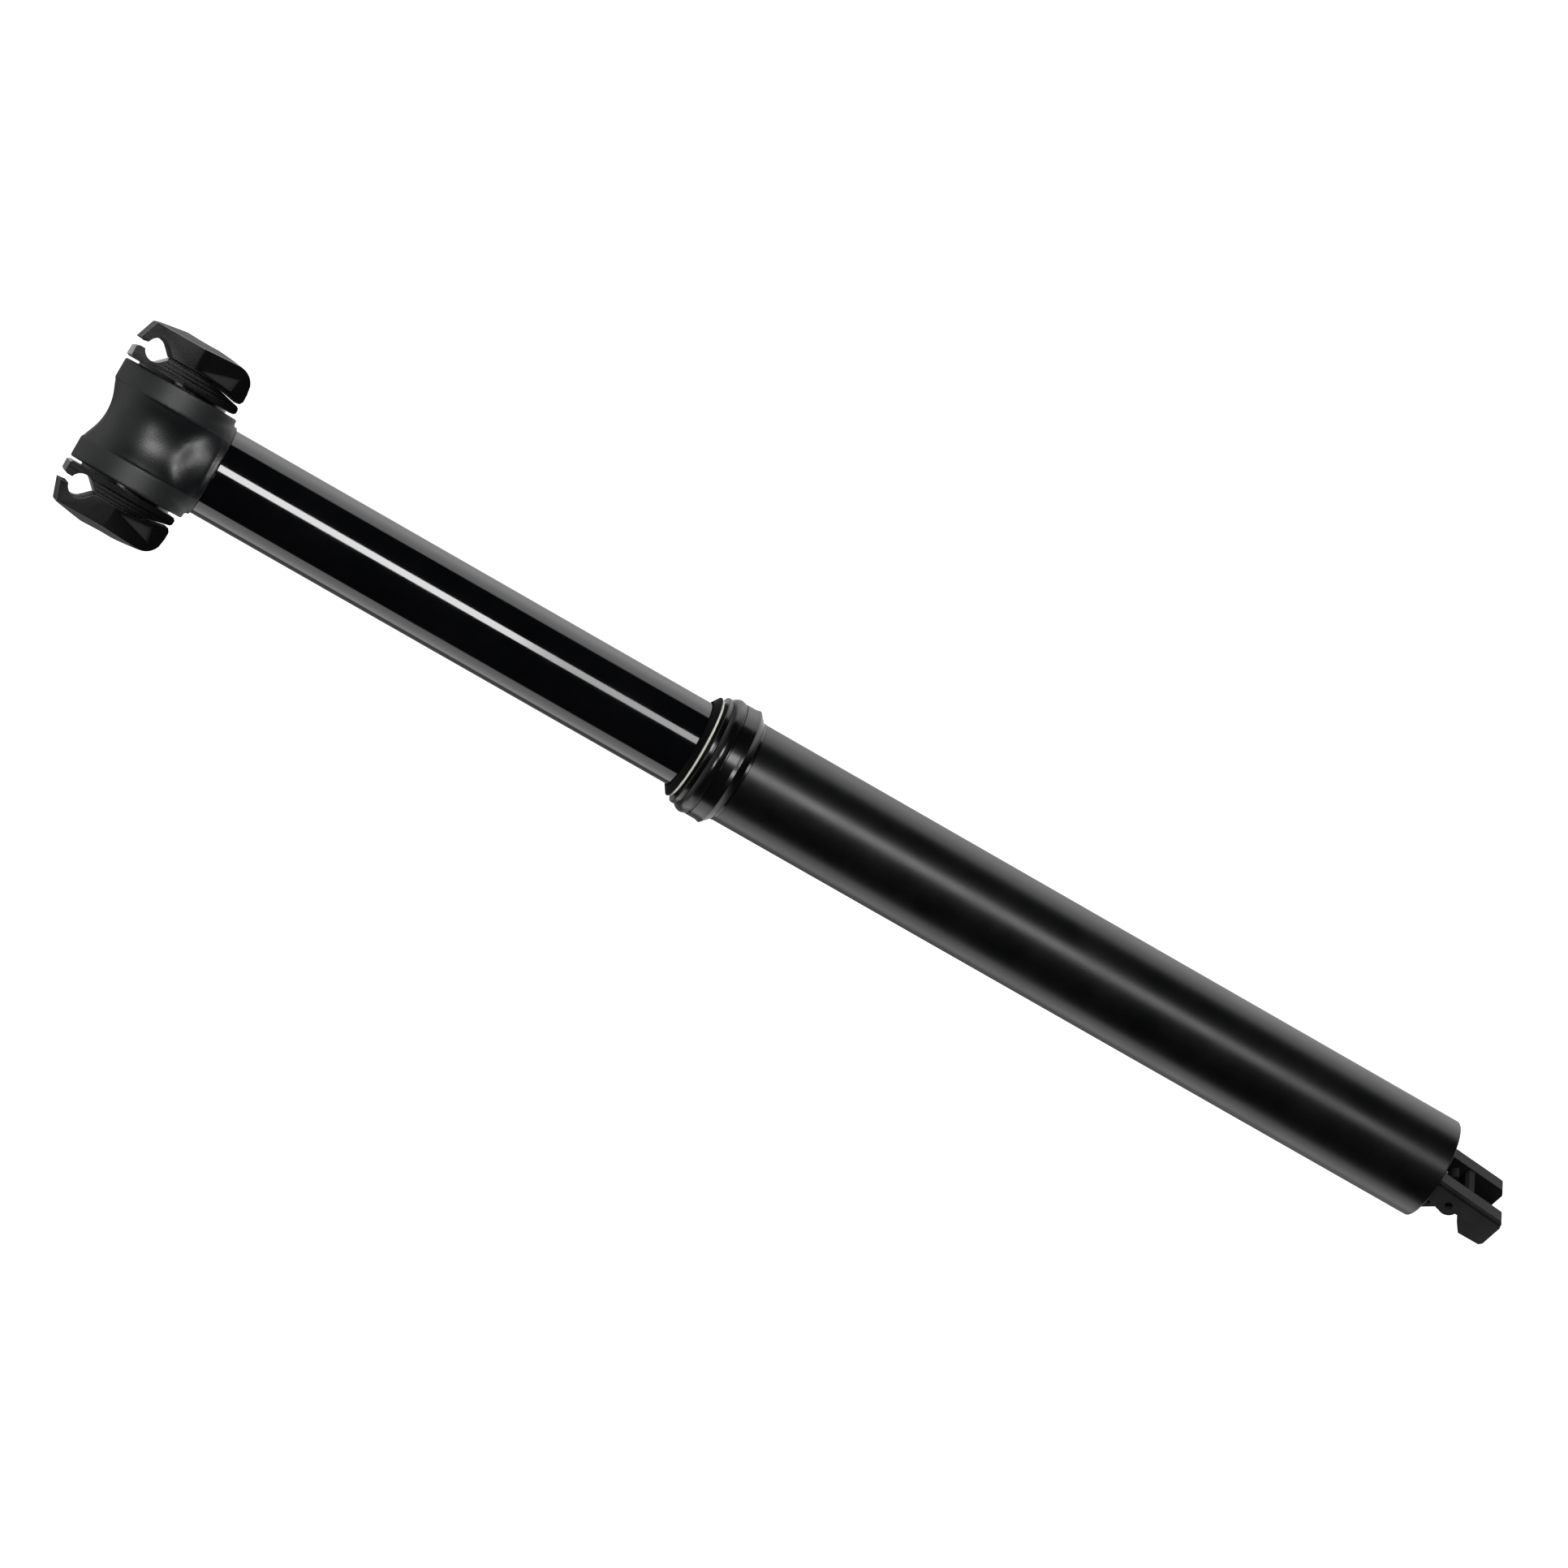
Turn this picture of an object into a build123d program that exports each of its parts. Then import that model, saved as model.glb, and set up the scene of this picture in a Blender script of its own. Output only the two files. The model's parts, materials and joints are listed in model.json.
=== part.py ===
"""A dropper seatpost: a sliding upper tube with a two-rail saddle clamp, in a lower tube with a cable actuator.

Frame: millimetres, +Z up the post, origin on the post's axis where the lower tube's top end seats in the frame,
+X forward along the saddle rails, +Y to the rider's left along the clamp bolt.
"""

import math
import os

from build123d import *

# One length unit, and the overrun that every cut takes past the faces it opens.
MM = 1.0
OVERRUN = 1.0 * MM

# Clearances
RUN_FIT = 0.05 * MM
SEAT_FIT = 0.02 * MM
BODY_GAP = 0.3 * MM

# Post: travel, tubes and their levels
TRAVEL = 150.0 * MM
GUIDE_OVERLAP = 70.0 * MM
TUBE_D = 31.6 * MM
TUBE_WALL = 1.6 * MM
TUBE_THREAD_CUT = 0.75 * MM
TUBE_THREAD_DEPTH = 13.0 * MM
TUBE_EDGE = 0.4 * MM
SLIDE_SPACE = 0.8 * MM
STANCHION_WALL = 1.7 * MM
HEAD_STANDOFF = 8.1 * MM
FOOT_STANDOFF = 6.0 * MM

# Anti-rotation keys, and the keyways that they run in
KEY_COUNT = 3
KEY_D = 2.4 * MM
KEY_LENGTH = 10.0 * MM
KEY_RISE = 6.0 * MM

# Slide bushes
UPPER_BUSH_LENGTH = 16.0 * MM
LOWER_BUSH_LENGTH = 16.0 * MM
BUSH_SPLIT_GAP = 0.8 * MM
RING_SECTION = 1.2 * MM
RING_GROOVE_DEPTH = 0.5 * MM
RING_STAND = 0.55 * MM

# Seal collar: radii and levels of its turned outline, from the wiper end down
COLLAR_HEIGHT = 13.4 * MM
COLLAR_BEAD_RISE = 1.5 * MM
COLLAR_RISE = 2.7 * MM
COLLAR_WAIST_RISE = 2.36 * MM
COLLAR_FOOT_RISE = 0.1 * MM
COLLAR_GROOVE_DEPTH = 0.35 * MM
COLLAR_TOP_EDGE = 0.35 * MM
COLLAR_BORE_GAP = 0.3 * MM
COLLAR_SKIRT = 12.0 * MM
SEAL_WALL = 1.6 * MM
SEAL_SEAT_DEPTH = 8.4 * MM

# Wiper seal and its garter spring
WIPER_TOP_Z = 16.8 * MM
WIPER_FLARE = 1.2 * MM
WIPER_LIP = 1.7 * MM
WIPER_WALL = 1.2 * MM
GARTER_WIRE_D = 0.8 * MM
GARTER_SINK = 0.2 * MM
RING_SIDES = 8

# Head: a barrel across the post, on a neck with a spigot bonded into the stanchion
BARREL_RISE = 19.4 * MM
BARREL_HALF = 16.05 * MM
FLANGE_R = 18.1 * MM
FLANGE_INNER = 9.5 * MM
WAIST_R = 14.9 * MM
FLANGE_CHAMFER = 0.5 * MM
NECK_STEP = 0.7 * MM
NECK_RING = 0.9 * MM
NECK_FLARE = 1.5 * MM
NECK_FLARE_HEIGHT = 7.0 * MM
SPIGOT_LENGTH = 14.0 * MM
SPIGOT_BORE_R = 6.0 * MM
SPIGOT_BORE_TOP = 5.0 * MM
HUB_R = 14.2 * MM
HUB_DEPTH = 6.0 * MM

# Saddle clamp: rails, and the plates and hooked ears that hold them
RAIL_SPACING = 44.0 * MM
RAIL_D = 7.0 * MM
RAIL_RISE = 12.0 * MM
GROOVE_POINT = 4.95 * MM
CLAMP_DROP = 16.2 * MM
HOOK_RISE = 5.9 * MM
CLAMP_SPLIT = 0.15 * MM
PLATE_GAP = 0.85 * MM
EAR_DEPTH = 8.9 * MM
EAR_LENGTH = 38.0 * MM
EAR_FOOT_LENGTH = 25.0 * MM
EAR_CROWN_R = 90.0 * MM
EAR_RECESS_DEPTH = 2.2 * MM
EAR_EDGE = 0.45 * MM
PLATE_LENGTH = 37.0 * MM
PLATE_FOOT_LENGTH = 24.0 * MM
PLATE_THICK = 1.7 * MM
PLATE_STEP = 1.2 * MM

# Clamp bolt, washer and nut
BOLT_D = 8.0 * MM
BOLT_HOLE_D = 8.6 * MM
BOLT_HEAD_D = 13.0 * MM
BOLT_HEAD_HEIGHT = 4.8 * MM
BOLT_SOCKET_AF = 6.0 * MM
BOLT_SOCKET_DEPTH = 3.4 * MM
BOLT_EDGE = 0.5 * MM
WASHER_D = 13.8 * MM
WASHER_THICK = 1.2 * MM
POCKET_CLEARANCE = 0.3 * MM
POCKET_FLOOR = 2.2 * MM
NUT_D = 13.4 * MM
NUT_FLATS = 11.0 * MM
NUT_HEAD_HEIGHT = 6.0 * MM
NUT_SPIGOT_D = 10.6 * MM
NUT_SPIGOT_LENGTH = 1.9 * MM
BOLT_END_SHORT = 0.6 * MM

# Gas cartridge, from the foot plug up
ROD_D = 8.0 * MM
ROD_END_D = 6.0 * MM
ROD_BORE_D = 3.1 * MM
TOP_OUT_GAP = 0.5 * MM
ROD_PISTON_HEIGHT = 11.0 * MM
BUMPER_HEIGHT = 0.7 * MM
CYLINDER_GAP = 1.2 * MM
CYLINDER_WALL = 1.5 * MM
CAP_FLANGE = 2.8 * MM
GLAND_FLANGE = 4.0 * MM
GLAND_PLUG = 9.8 * MM
SEAL_WIRE_D = 2.0 * MM
ROD_SEAL_WIRE_D = 1.6 * MM
SEAL_SQUEEZE = 0.1 * MM
OIL_RESERVE = 9.6 * MM
FLOAT_HEIGHT = 9.0 * MM
FLOAT_WALL = 2.0 * MM
CAP_PLUG = 6.0 * MM
CAP_NOSE_LENGTH = 7.0 * MM
CAP_FLANGE_GAP = 0.1 * MM
RETAINER_HEIGHT = 8.0 * MM

# Foot plug, and what clamps to it
FOOT_PLUG_INSET = 2.9 * MM
FOOT_PLUG_HEIGHT = 9.5 * MM
FOOT_SEAL_WIRE_D = 1.6 * MM
SPANNER_HOLE_D = 3.0 * MM
SPANNER_INSET = 4.95 * MM
SPANNER_DEPTH = 5.0 * MM
NUT_AF = 10.0 * MM
NUT_HEIGHT = 3.0 * MM
ROD_PROUD = 0.3 * MM

# Actuator: two cheeks under a flange, turned about the post, round a cam lever
ACTUATOR_TURN = -28.0
FLANGE_PLATE_INSET = 2.35 * MM
FLANGE_PLATE_THICK = 2.5 * MM
CHEEK_INSET = 3.55 * MM
CHEEK_INNER = 6.0 * MM
CHEEK_TOP_RIGHT = 4.3 * MM
CHEEK_FOOT_RIGHT = 2.1 * MM
CHEEK_LEFT = 8.4 * MM
CHEEK_TOP_LEFT = 7.1 * MM
CHEEK_WAIST = 3.4 * MM
CHEEK_DROP = 24.7 * MM
CHEEK_EDGE = 0.5 * MM
EAR_PIN_R = 3.3 * MM
EAR_TANGENT_TURN = 128.0
HOOK_TOP_DROP = 12.9 * MM
HOOK_SLOPE = 2.3 * MM
HOOK_BOTTOM_DROP = 23.3 * MM
HOOK_CORNER = 0.95 * MM
CHEEK_FOOT_ROUND = 0.9 * MM
CHEEK_GROOVE_INSET = 0.7 * MM
CHEEK_GROOVE_WIDTH = 0.9 * MM
CHEEK_GROOVE_DEPTH = 0.6 * MM
LUG_TOP_DROP = 1.1 * MM
LUG_HOLE_D = 1.1 * MM
LUG_HOLE_W = -4.4 * MM
LUG_HOLE_DROP = 2.3 * MM
PIVOT_W = -2.1 * MM
PIVOT_DROP = 7.9 * MM
PIVOT_D = 2.4 * MM
PIVOT_SHORT = 1.3 * MM
BRIDGE_DROP = 13.5 * MM
BRIDGE_THICK = 2.7 * MM
BRIDGE_DEPTH = 4.3 * MM
BRIDGE_INSET = 0.25 * MM
STOP_W = -5.7 * MM
STOP_BORE_D = 4.1 * MM
STOP_BORE_DEPTH = 5.6 * MM
STOP_WALL = 0.8 * MM
STOP_TOP_DROP = 15.4 * MM
WIRE_HOLE_D = 1.8 * MM
WIRE_SLOT = 1.3 * MM

# Cam lever: hub, involute lobe, and the arm that holds the cable's end
LEVER_HUB_R = 2.35 * MM
LEVER_HALF = 5.6 * MM
LOBE_HALF = 2.4 * MM
LOBE_ROLL = 1.2
LOBE_BACK_ROLL = 0.6
LOBE_FRONT_ROLL = -1.15
LOBE_POINTS = 9
ARM_TIP_R = 2.3 * MM
BARREL_SEAT_D = 3.2 * MM

# Valve push pin
VALVE_PIN_D = 3.0 * MM
VALVE_PIN_SINK = 6.0 * MM

# Levels and radii that follow from the values above
TUBE_R = TUBE_D / 2
TUBE_BORE_R = TUBE_R - TUBE_WALL
TUBE_THREAD_R = TUBE_BORE_R + TUBE_THREAD_CUT
STANCHION_R = TUBE_BORE_R - SLIDE_SPACE
STANCHION_BORE_R = STANCHION_R - STANCHION_WALL
COLLAR_BEAD_R = TUBE_R + COLLAR_BEAD_RISE
COLLAR_R = TUBE_R + COLLAR_RISE
COLLAR_WAIST_R = TUBE_R + COLLAR_WAIST_RISE
COLLAR_FOOT_R = TUBE_R + COLLAR_FOOT_RISE
COLLAR_BORE_R = STANCHION_R + COLLAR_BORE_GAP
SEAL_SEAT_R = STANCHION_R + SEAL_WALL
WIPER_R = SEAL_SEAT_R + WIPER_FLARE
NECK_R = STANCHION_R + NECK_STEP
NECK_FLARE_R = NECK_R + NECK_FLARE
FLANGE_PLATE_R = TUBE_THREAD_R - FLANGE_PLATE_INSET
CHEEK_OUTER = TUBE_THREAD_R - CHEEK_INSET
CYLINDER_R = STANCHION_BORE_R - CYLINDER_GAP
CYLINDER_BORE_R = CYLINDER_R - CYLINDER_WALL
STANCHION_TOP_Z = WIPER_TOP_Z + TRAVEL + HEAD_STANDOFF
BARREL_Z = STANCHION_TOP_Z + BARREL_RISE
TUBE_LENGTH = TRAVEL + GUIDE_OVERLAP + FOOT_STANDOFF + FOOT_PLUG_HEIGHT + FOOT_PLUG_INSET
FOOT_PLUG_Z = FOOT_PLUG_INSET - TUBE_LENGTH
FOOT_PLUG_TOP_Z = FOOT_PLUG_Z + FOOT_PLUG_HEIGHT
STANCHION_BOTTOM_Z = FOOT_PLUG_TOP_Z + FOOT_STANDOFF + TRAVEL
KEY_CENTRE_R = (STANCHION_R + TUBE_BORE_R) / 2
KEY_BOTTOM_Z = STANCHION_BOTTOM_Z + KEY_RISE
LOWER_BUSH_Z = KEY_BOTTOM_Z + KEY_LENGTH + BODY_GAP
RING_Z = LOWER_BUSH_Z + LOWER_BUSH_LENGTH
UPPER_BUSH_TOP_Z = -COLLAR_SKIRT - BODY_GAP
UPPER_BUSH_Z = UPPER_BUSH_TOP_Z - UPPER_BUSH_LENGTH
RAIL_Y = RAIL_SPACING / 2
PLATE_Y = BARREL_HALF + PLATE_GAP
EAR_Y = RAIL_Y + EAR_DEPTH
WASHER_Y = RAIL_Y + POCKET_FLOOR
BOLT_HEAD_Y = WASHER_Y + WASHER_THICK
NUT_END_Y = WASHER_Y + NUT_HEAD_HEIGHT
CLAMP_HEIGHT = CLAMP_DROP + RAIL_RISE + HOOK_RISE
GLAND_TOP_Z = STANCHION_BOTTOM_Z + GLAND_FLANGE + GLAND_PLUG
ROD_PISTON_Z = GLAND_TOP_Z + TOP_OUT_GAP + BUMPER_HEIGHT
ROD_PISTON_TOP_Z = ROD_PISTON_Z + ROD_PISTON_HEIGHT
CAP_FLANGE_TOP_Z = STANCHION_TOP_Z - SPIGOT_LENGTH - CAP_FLANGE_GAP
CYLINDER_TOP_Z = CAP_FLANGE_TOP_Z - CAP_FLANGE
FLOAT_TRAVEL = TRAVEL * (ROD_D / 2 / CYLINDER_BORE_R) ** 2
FLOAT_Z = ROD_PISTON_TOP_Z + TRAVEL - FLOAT_TRAVEL + OIL_RESERVE
FLANGE_PLATE_Z = FOOT_PLUG_Z - FLANGE_PLATE_THICK
CHEEK_FOOT_Z = FLANGE_PLATE_Z - CHEEK_DROP
HOOK_TOP_Z = FLANGE_PLATE_Z - HOOK_TOP_DROP
HOOK_BOTTOM_Z = FLANGE_PLATE_Z - HOOK_BOTTOM_DROP
LUG_TOP_Z = FLANGE_PLATE_Z - LUG_TOP_DROP
LUG_HOLE_Z = FLANGE_PLATE_Z - LUG_HOLE_DROP
PIVOT_Z = FLANGE_PLATE_Z - PIVOT_DROP
BRIDGE_Z = FLANGE_PLATE_Z - BRIDGE_DROP
STOP_TOP_Z = FLANGE_PLATE_Z - STOP_TOP_DROP
ROD_END_Z = FLANGE_PLATE_Z - NUT_HEIGHT - ROD_PROUD
LOBE_BASE_R = -PIVOT_W
LOBE_RISE = LOBE_BASE_R * LOBE_ROLL
VALVE_PIN_Z = PIVOT_Z + LOBE_RISE + BODY_GAP
VALVE_PIN_TOP_Z = ROD_PISTON_TOP_Z - VALVE_PIN_SINK

# Outline of a hooked ear: shares of its depth out from the rail, and of the clamp's height up from its foot
EAR_INNER_SHARES = [(0.0, 0.30), (-0.215, 0.016), (-0.09, -0.006), (0.174, -0.004), (0.46, 0.008)]
EAR_CORNER_SHARES = [(0.72, 0.056), (0.86, 0.145)]
EAR_DOME_SHARES = [(1.0, 0.54), (0.985, 0.674)]
EAR_HOOK_SHARES = [(0.81, 0.938), (0.116, 1.0), (0.093, 0.938), (0.0, 0.85)]

# Outline of an inner plate: shares of its depth out from its inner face, and of the clamp's height
PLATE_SHARES = [(0.0, 0.02), (0.12, 0.0), (0.42, 0.0), (0.51, 0.02), (1.0, 0.34), (1.0, 0.70)]
PLATE_LIP_SHARES = [(0.78, 0.80), (0.78, 0.97), (0.66, 0.998), (0.10, 0.998), (0.0, 0.975)]

# Least share of an end face's normal that points along the rails
END_FACE_SHARE = 0.9
CROSS_EDGE_SHARE = 0.99

# Triangular recess in an ear's end face: shares of the ear's depth and the clamp's height
RECESS_SHARES = [(0.12, 0.46), (0.02, 0.14), (0.52, 0.11), (0.42, 0.20)]

# Levels of the collar's outline, as shares of its height
COLLAR_SHOULDER_SHARE = 0.88
COLLAR_CROWN_SHARE = 0.25
COLLAR_UPPER_SHARE = 0.71
COLLAR_WAIST_TOP_SHARE = 0.58
COLLAR_WAIST_FOOT_SHARE = 0.335
COLLAR_RIM_SHARE = 0.245
COLLAR_CHAMFER_SHARE = 0.155
COLLAR_STEP_SHARE = 0.067
COLLAR_GROOVE_SHARES = (0.895, 0.745, 0.59)


def turned(points, axis=Axis.Z):
    """Return the solid that an outline of (radius, level) points makes when turned about the post's axis."""
    line = Polyline(*[(r, 0, z) for r, z in points], close=True)
    return revolve(make_face(line), axis)


def tube(outer_r, inner_r, low, high):
    """Return a plain tube about the post's axis."""
    return turned([(inner_r, low), (outer_r, low), (outer_r, high), (inner_r, high)])


def rod(radius, low, high):
    """Return a plain round bar about the post's axis."""
    return Pos(0, 0, low) * Cylinder(radius, high - low, align=(Align.CENTER, Align.CENTER, Align.MIN))


def across(radius, y_from, y_to, z=BARREL_Z):
    """Return a round bar along the clamp bolt's axis."""
    bar = Cylinder(radius, y_to - y_from, align=(Align.CENTER, Align.CENTER, Align.MIN))
    return Pos(0, y_from, z) * (Rot(-90, 0, 0) * bar)


def ring_seal(centre_r, wire_d, z):
    """Return a ring about the post's axis whose round section has a few flats."""
    turn = math.tau / RING_SIDES
    corner_r = wire_d / 2 / math.cos(turn / 2)
    angles = [turn * (side + 1 / 2) for side in range(RING_SIDES)]
    return turned([(centre_r + corner_r * math.cos(a), z + corner_r * math.sin(a)) for a in angles])


def mirrored(part):
    """Return the part's mirror image across the post's middle plane."""
    return mirror(part, Plane.XZ)


def outer_tube():
    """Lower tube: thread bore at the top, and three keyways down its bore."""
    wall = tube(TUBE_R, TUBE_BORE_R, -TUBE_LENGTH, 0)
    wall = chamfer(wall.faces().sort_by(Axis.Z)[0].outer_wire().edges(), TUBE_EDGE)
    wall -= rod(TUBE_THREAD_R, -TUBE_THREAD_DEPTH, OVERRUN)
    low = FOOT_PLUG_TOP_Z
    for key in range(KEY_COUNT):
        way = rod(KEY_D / 2 + RUN_FIT, low, UPPER_BUSH_Z)
        wall -= Rot(0, 0, 360 * key / KEY_COUNT) * (Pos(KEY_CENTRE_R, 0, 0) * way)
    return wall


def seal_collar():
    """Screwed collar: a turned, beaded ring on a skirt that goes into the tube."""
    h = COLLAR_HEIGHT
    bead_r = COLLAR_BEAD_R
    skirt_r = TUBE_THREAD_R - SEAT_FIT
    outline = Polyline(
        (COLLAR_BORE_R, 0, -COLLAR_SKIRT),
        (skirt_r, 0, -COLLAR_SKIRT),
        (skirt_r, 0, 0),
        (COLLAR_FOOT_R, 0, 0),
        (COLLAR_FOOT_R, 0, h * COLLAR_STEP_SHARE),
        ((COLLAR_FOOT_R + COLLAR_R) / 2, 0, h * COLLAR_CHAMFER_SHARE),
        (COLLAR_R, 0, h * COLLAR_RIM_SHARE),
        (COLLAR_WAIST_R, 0, h * COLLAR_WAIST_FOOT_SHARE),
        (COLLAR_WAIST_R, 0, h * COLLAR_WAIST_TOP_SHARE),
        (COLLAR_R, 0, h * COLLAR_UPPER_SHARE),
    )
    crown_r = COLLAR_R - (COLLAR_R - bead_r) * COLLAR_CROWN_SHARE
    shoulder = ThreePointArc(
        (COLLAR_R, 0, h * COLLAR_UPPER_SHARE),
        (crown_r, 0, h * (COLLAR_UPPER_SHARE + COLLAR_SHOULDER_SHARE) / 2),
        (bead_r, 0, h * COLLAR_SHOULDER_SHARE),
    )
    top = Polyline(
        (bead_r, 0, h * COLLAR_SHOULDER_SHARE),
        (bead_r, 0, h - COLLAR_TOP_EDGE),
        (bead_r - COLLAR_TOP_EDGE, 0, h),
        (SEAL_SEAT_R + SEAT_FIT, 0, h),
        (SEAL_SEAT_R + SEAT_FIT, 0, h - SEAL_SEAT_DEPTH),
        (COLLAR_BORE_R, 0, h - SEAL_SEAT_DEPTH),
        (COLLAR_BORE_R, 0, -COLLAR_SKIRT),
    )
    ring = revolve(make_face(outline + shoulder + top), Axis.Z)
    radii = (bead_r, COLLAR_R, COLLAR_WAIST_R)
    for share, radius in zip(COLLAR_GROOVE_SHARES, radii):
        deep = radius - COLLAR_GROOVE_DEPTH
        level = h * share
        wide = radius + COLLAR_GROOVE_DEPTH
        ring -= turned([(deep, level), (wide, level - COLLAR_GROOVE_DEPTH), (wide, level + COLLAR_GROOVE_DEPTH)])
    return ring


def wiper_seal():
    """Rubber wiper: a flared lip over the collar, with a seat for the garter spring."""
    lip_z = WIPER_TOP_Z - WIPER_LIP
    inner = STANCHION_R + RUN_FIT
    seat_top = lip_z - GARTER_SINK
    seat_foot = seat_top - GARTER_WIRE_D
    seat_r = WIPER_R - GARTER_WIRE_D - GARTER_SINK
    foot_z = COLLAR_HEIGHT - SEAL_SEAT_DEPTH
    return turned(
        [
            (inner, WIPER_TOP_Z - WIPER_LIP / 2),
            (inner + RING_STAND, WIPER_TOP_Z),
            (WIPER_R, lip_z + GARTER_SINK),
            (WIPER_R, seat_top),
            (seat_r, seat_top),
            (seat_r, seat_foot),
            (SEAL_SEAT_R, seat_foot),
            (SEAL_SEAT_R, foot_z),
            (SEAL_SEAT_R - WIPER_WALL, foot_z),
            (SEAL_SEAT_R - WIPER_WALL, foot_z + WIPER_WALL),
            (inner, foot_z + 2 * WIPER_WALL),
            (inner + RING_STAND, foot_z + 3 * WIPER_WALL),
            (inner + RING_STAND, lip_z - WIPER_WALL),
        ]
    )


def wiper_spring():
    """Garter spring, seated in the wiper's groove."""
    seat_top = WIPER_TOP_Z - WIPER_LIP - GARTER_SINK
    centre_r = WIPER_R - GARTER_WIRE_D / 2 - GARTER_SINK + SEAT_FIT
    return ring_seal(centre_r, GARTER_WIRE_D - 2 * SEAT_FIT, seat_top - GARTER_WIRE_D / 2)


def upper_bush_half(side):
    """One half of the split upper bush, on the given side of the post."""
    bush = tube(TUBE_BORE_R - SEAT_FIT, STANCHION_R + RUN_FIT, UPPER_BUSH_Z, UPPER_BUSH_TOP_Z)
    size = 2 * TUBE_R
    block = Box(size, size, UPPER_BUSH_LENGTH + 2 * OVERRUN, align=(Align.MIN, Align.CENTER, Align.CENTER))
    middle = (UPPER_BUSH_Z + UPPER_BUSH_TOP_Z) / 2
    half = Pos(BUSH_SPLIT_GAP / 2, 0, middle) * block
    return bush & (half if side > 0 else mirror(half, Plane.YZ))


def stanchion():
    """Upper tube: plain outside, with key pockets and a ring groove near its foot."""
    wall = tube(STANCHION_R, STANCHION_BORE_R, STANCHION_BOTTOM_Z, STANCHION_TOP_Z)
    pocket_r = KEY_D / 2 + SEAT_FIT
    for key in range(KEY_COUNT):
        pocket = rod(pocket_r, KEY_BOTTOM_Z - SEAT_FIT, KEY_BOTTOM_Z + KEY_LENGTH + SEAT_FIT)
        wall -= Rot(0, 0, 360 * key / KEY_COUNT) * (Pos(KEY_CENTRE_R, 0, 0) * pocket)
    groove_r = STANCHION_R - RING_GROOVE_DEPTH
    return wall - tube(STANCHION_R + OVERRUN, groove_r, RING_Z, RING_Z + RING_SECTION)


def key_pins():
    """Three brass keys, half in the stanchion and half in the tube's keyways."""
    pin = Pos(KEY_CENTRE_R, 0, 0) * rod(KEY_D / 2, KEY_BOTTOM_Z, KEY_BOTTOM_Z + KEY_LENGTH)
    return Compound([Rot(0, 0, 360 * key / KEY_COUNT) * pin for key in range(KEY_COUNT)])


def lower_bush():
    """Slide bush round the stanchion's foot, resting on the keys."""
    return tube(TUBE_BORE_R - RUN_FIT, STANCHION_R + SEAT_FIT, LOWER_BUSH_Z, RING_Z)


def bush_ring():
    """Wire ring in the stanchion's groove, above the lower bush."""
    inner = STANCHION_R - RING_GROOVE_DEPTH + SEAT_FIT
    return tube(STANCHION_R + RING_STAND, inner, RING_Z + SEAT_FIT, RING_Z + RING_SECTION - SEAT_FIT)


def barrel_body():
    """Hourglass barrel, turned about the clamp bolt's axis."""
    edge = FLANGE_CHAMFER
    half = Polyline(
        (0, -BARREL_HALF, 0),
        (FLANGE_R - edge, -BARREL_HALF, 0),
        (FLANGE_R, edge - BARREL_HALF, 0),
        (FLANGE_R, -FLANGE_INNER, 0),
    )
    waist = ThreePointArc((FLANGE_R, -FLANGE_INNER, 0), (WAIST_R, 0, 0), (FLANGE_R, FLANGE_INNER, 0))
    rest = Polyline(
        (FLANGE_R, FLANGE_INNER, 0),
        (FLANGE_R, BARREL_HALF - edge, 0),
        (FLANGE_R - edge, BARREL_HALF, 0),
        (0, BARREL_HALF, 0),
        (0, -BARREL_HALF, 0),
    )
    return Pos(0, 0, BARREL_Z) * revolve(make_face(half + waist + rest), Axis.Y)


def neck_body():
    """Neck that flares from the stanchion into the barrel, with the spigot below it."""
    ring_top = STANCHION_TOP_Z + NECK_RING
    flare_top = ring_top + NECK_FLARE_HEIGHT
    spigot_r = STANCHION_BORE_R - RUN_FIT
    low = Polyline(
        (0, 0, STANCHION_TOP_Z - SPIGOT_LENGTH),
        (spigot_r, 0, STANCHION_TOP_Z - SPIGOT_LENGTH),
        (spigot_r, 0, STANCHION_TOP_Z),
        (NECK_R, 0, STANCHION_TOP_Z),
        (NECK_R, 0, ring_top),
    )
    flare = TangentArc((NECK_R, 0, ring_top), (NECK_FLARE_R, 0, flare_top), tangent=(0, 0, 1))
    top = Polyline((NECK_FLARE_R, 0, flare_top), (0, 0, BARREL_Z), (0, 0, STANCHION_TOP_Z - SPIGOT_LENGTH))
    return revolve(make_face(low + flare + top), Axis.Z)


def head():
    """Forged head: barrel and neck in one, with hub sockets, bolt bore and a lightened spigot."""
    forging = barrel_body() + neck_body()
    for side in (1, -1):
        socket = across(HUB_R, BARREL_HALF - HUB_DEPTH, BARREL_HALF + OVERRUN)
        forging -= socket if side > 0 else mirrored(socket)
    forging -= across(BOLT_HOLE_D / 2, -BARREL_HALF, BARREL_HALF)
    bore_foot = STANCHION_TOP_Z - SPIGOT_LENGTH - OVERRUN
    return forging - rod(SPIGOT_BORE_R + RUN_FIT, bore_foot, STANCHION_TOP_Z + SPIGOT_BORE_TOP)


def clamp_point(y_origin, depth, shares):
    """Return an outline point of a clamp piece in the barrel's cross plane."""
    return (0, y_origin + shares[0] * depth, BARREL_Z - CLAMP_DROP + shares[1] * CLAMP_HEIGHT)


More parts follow.
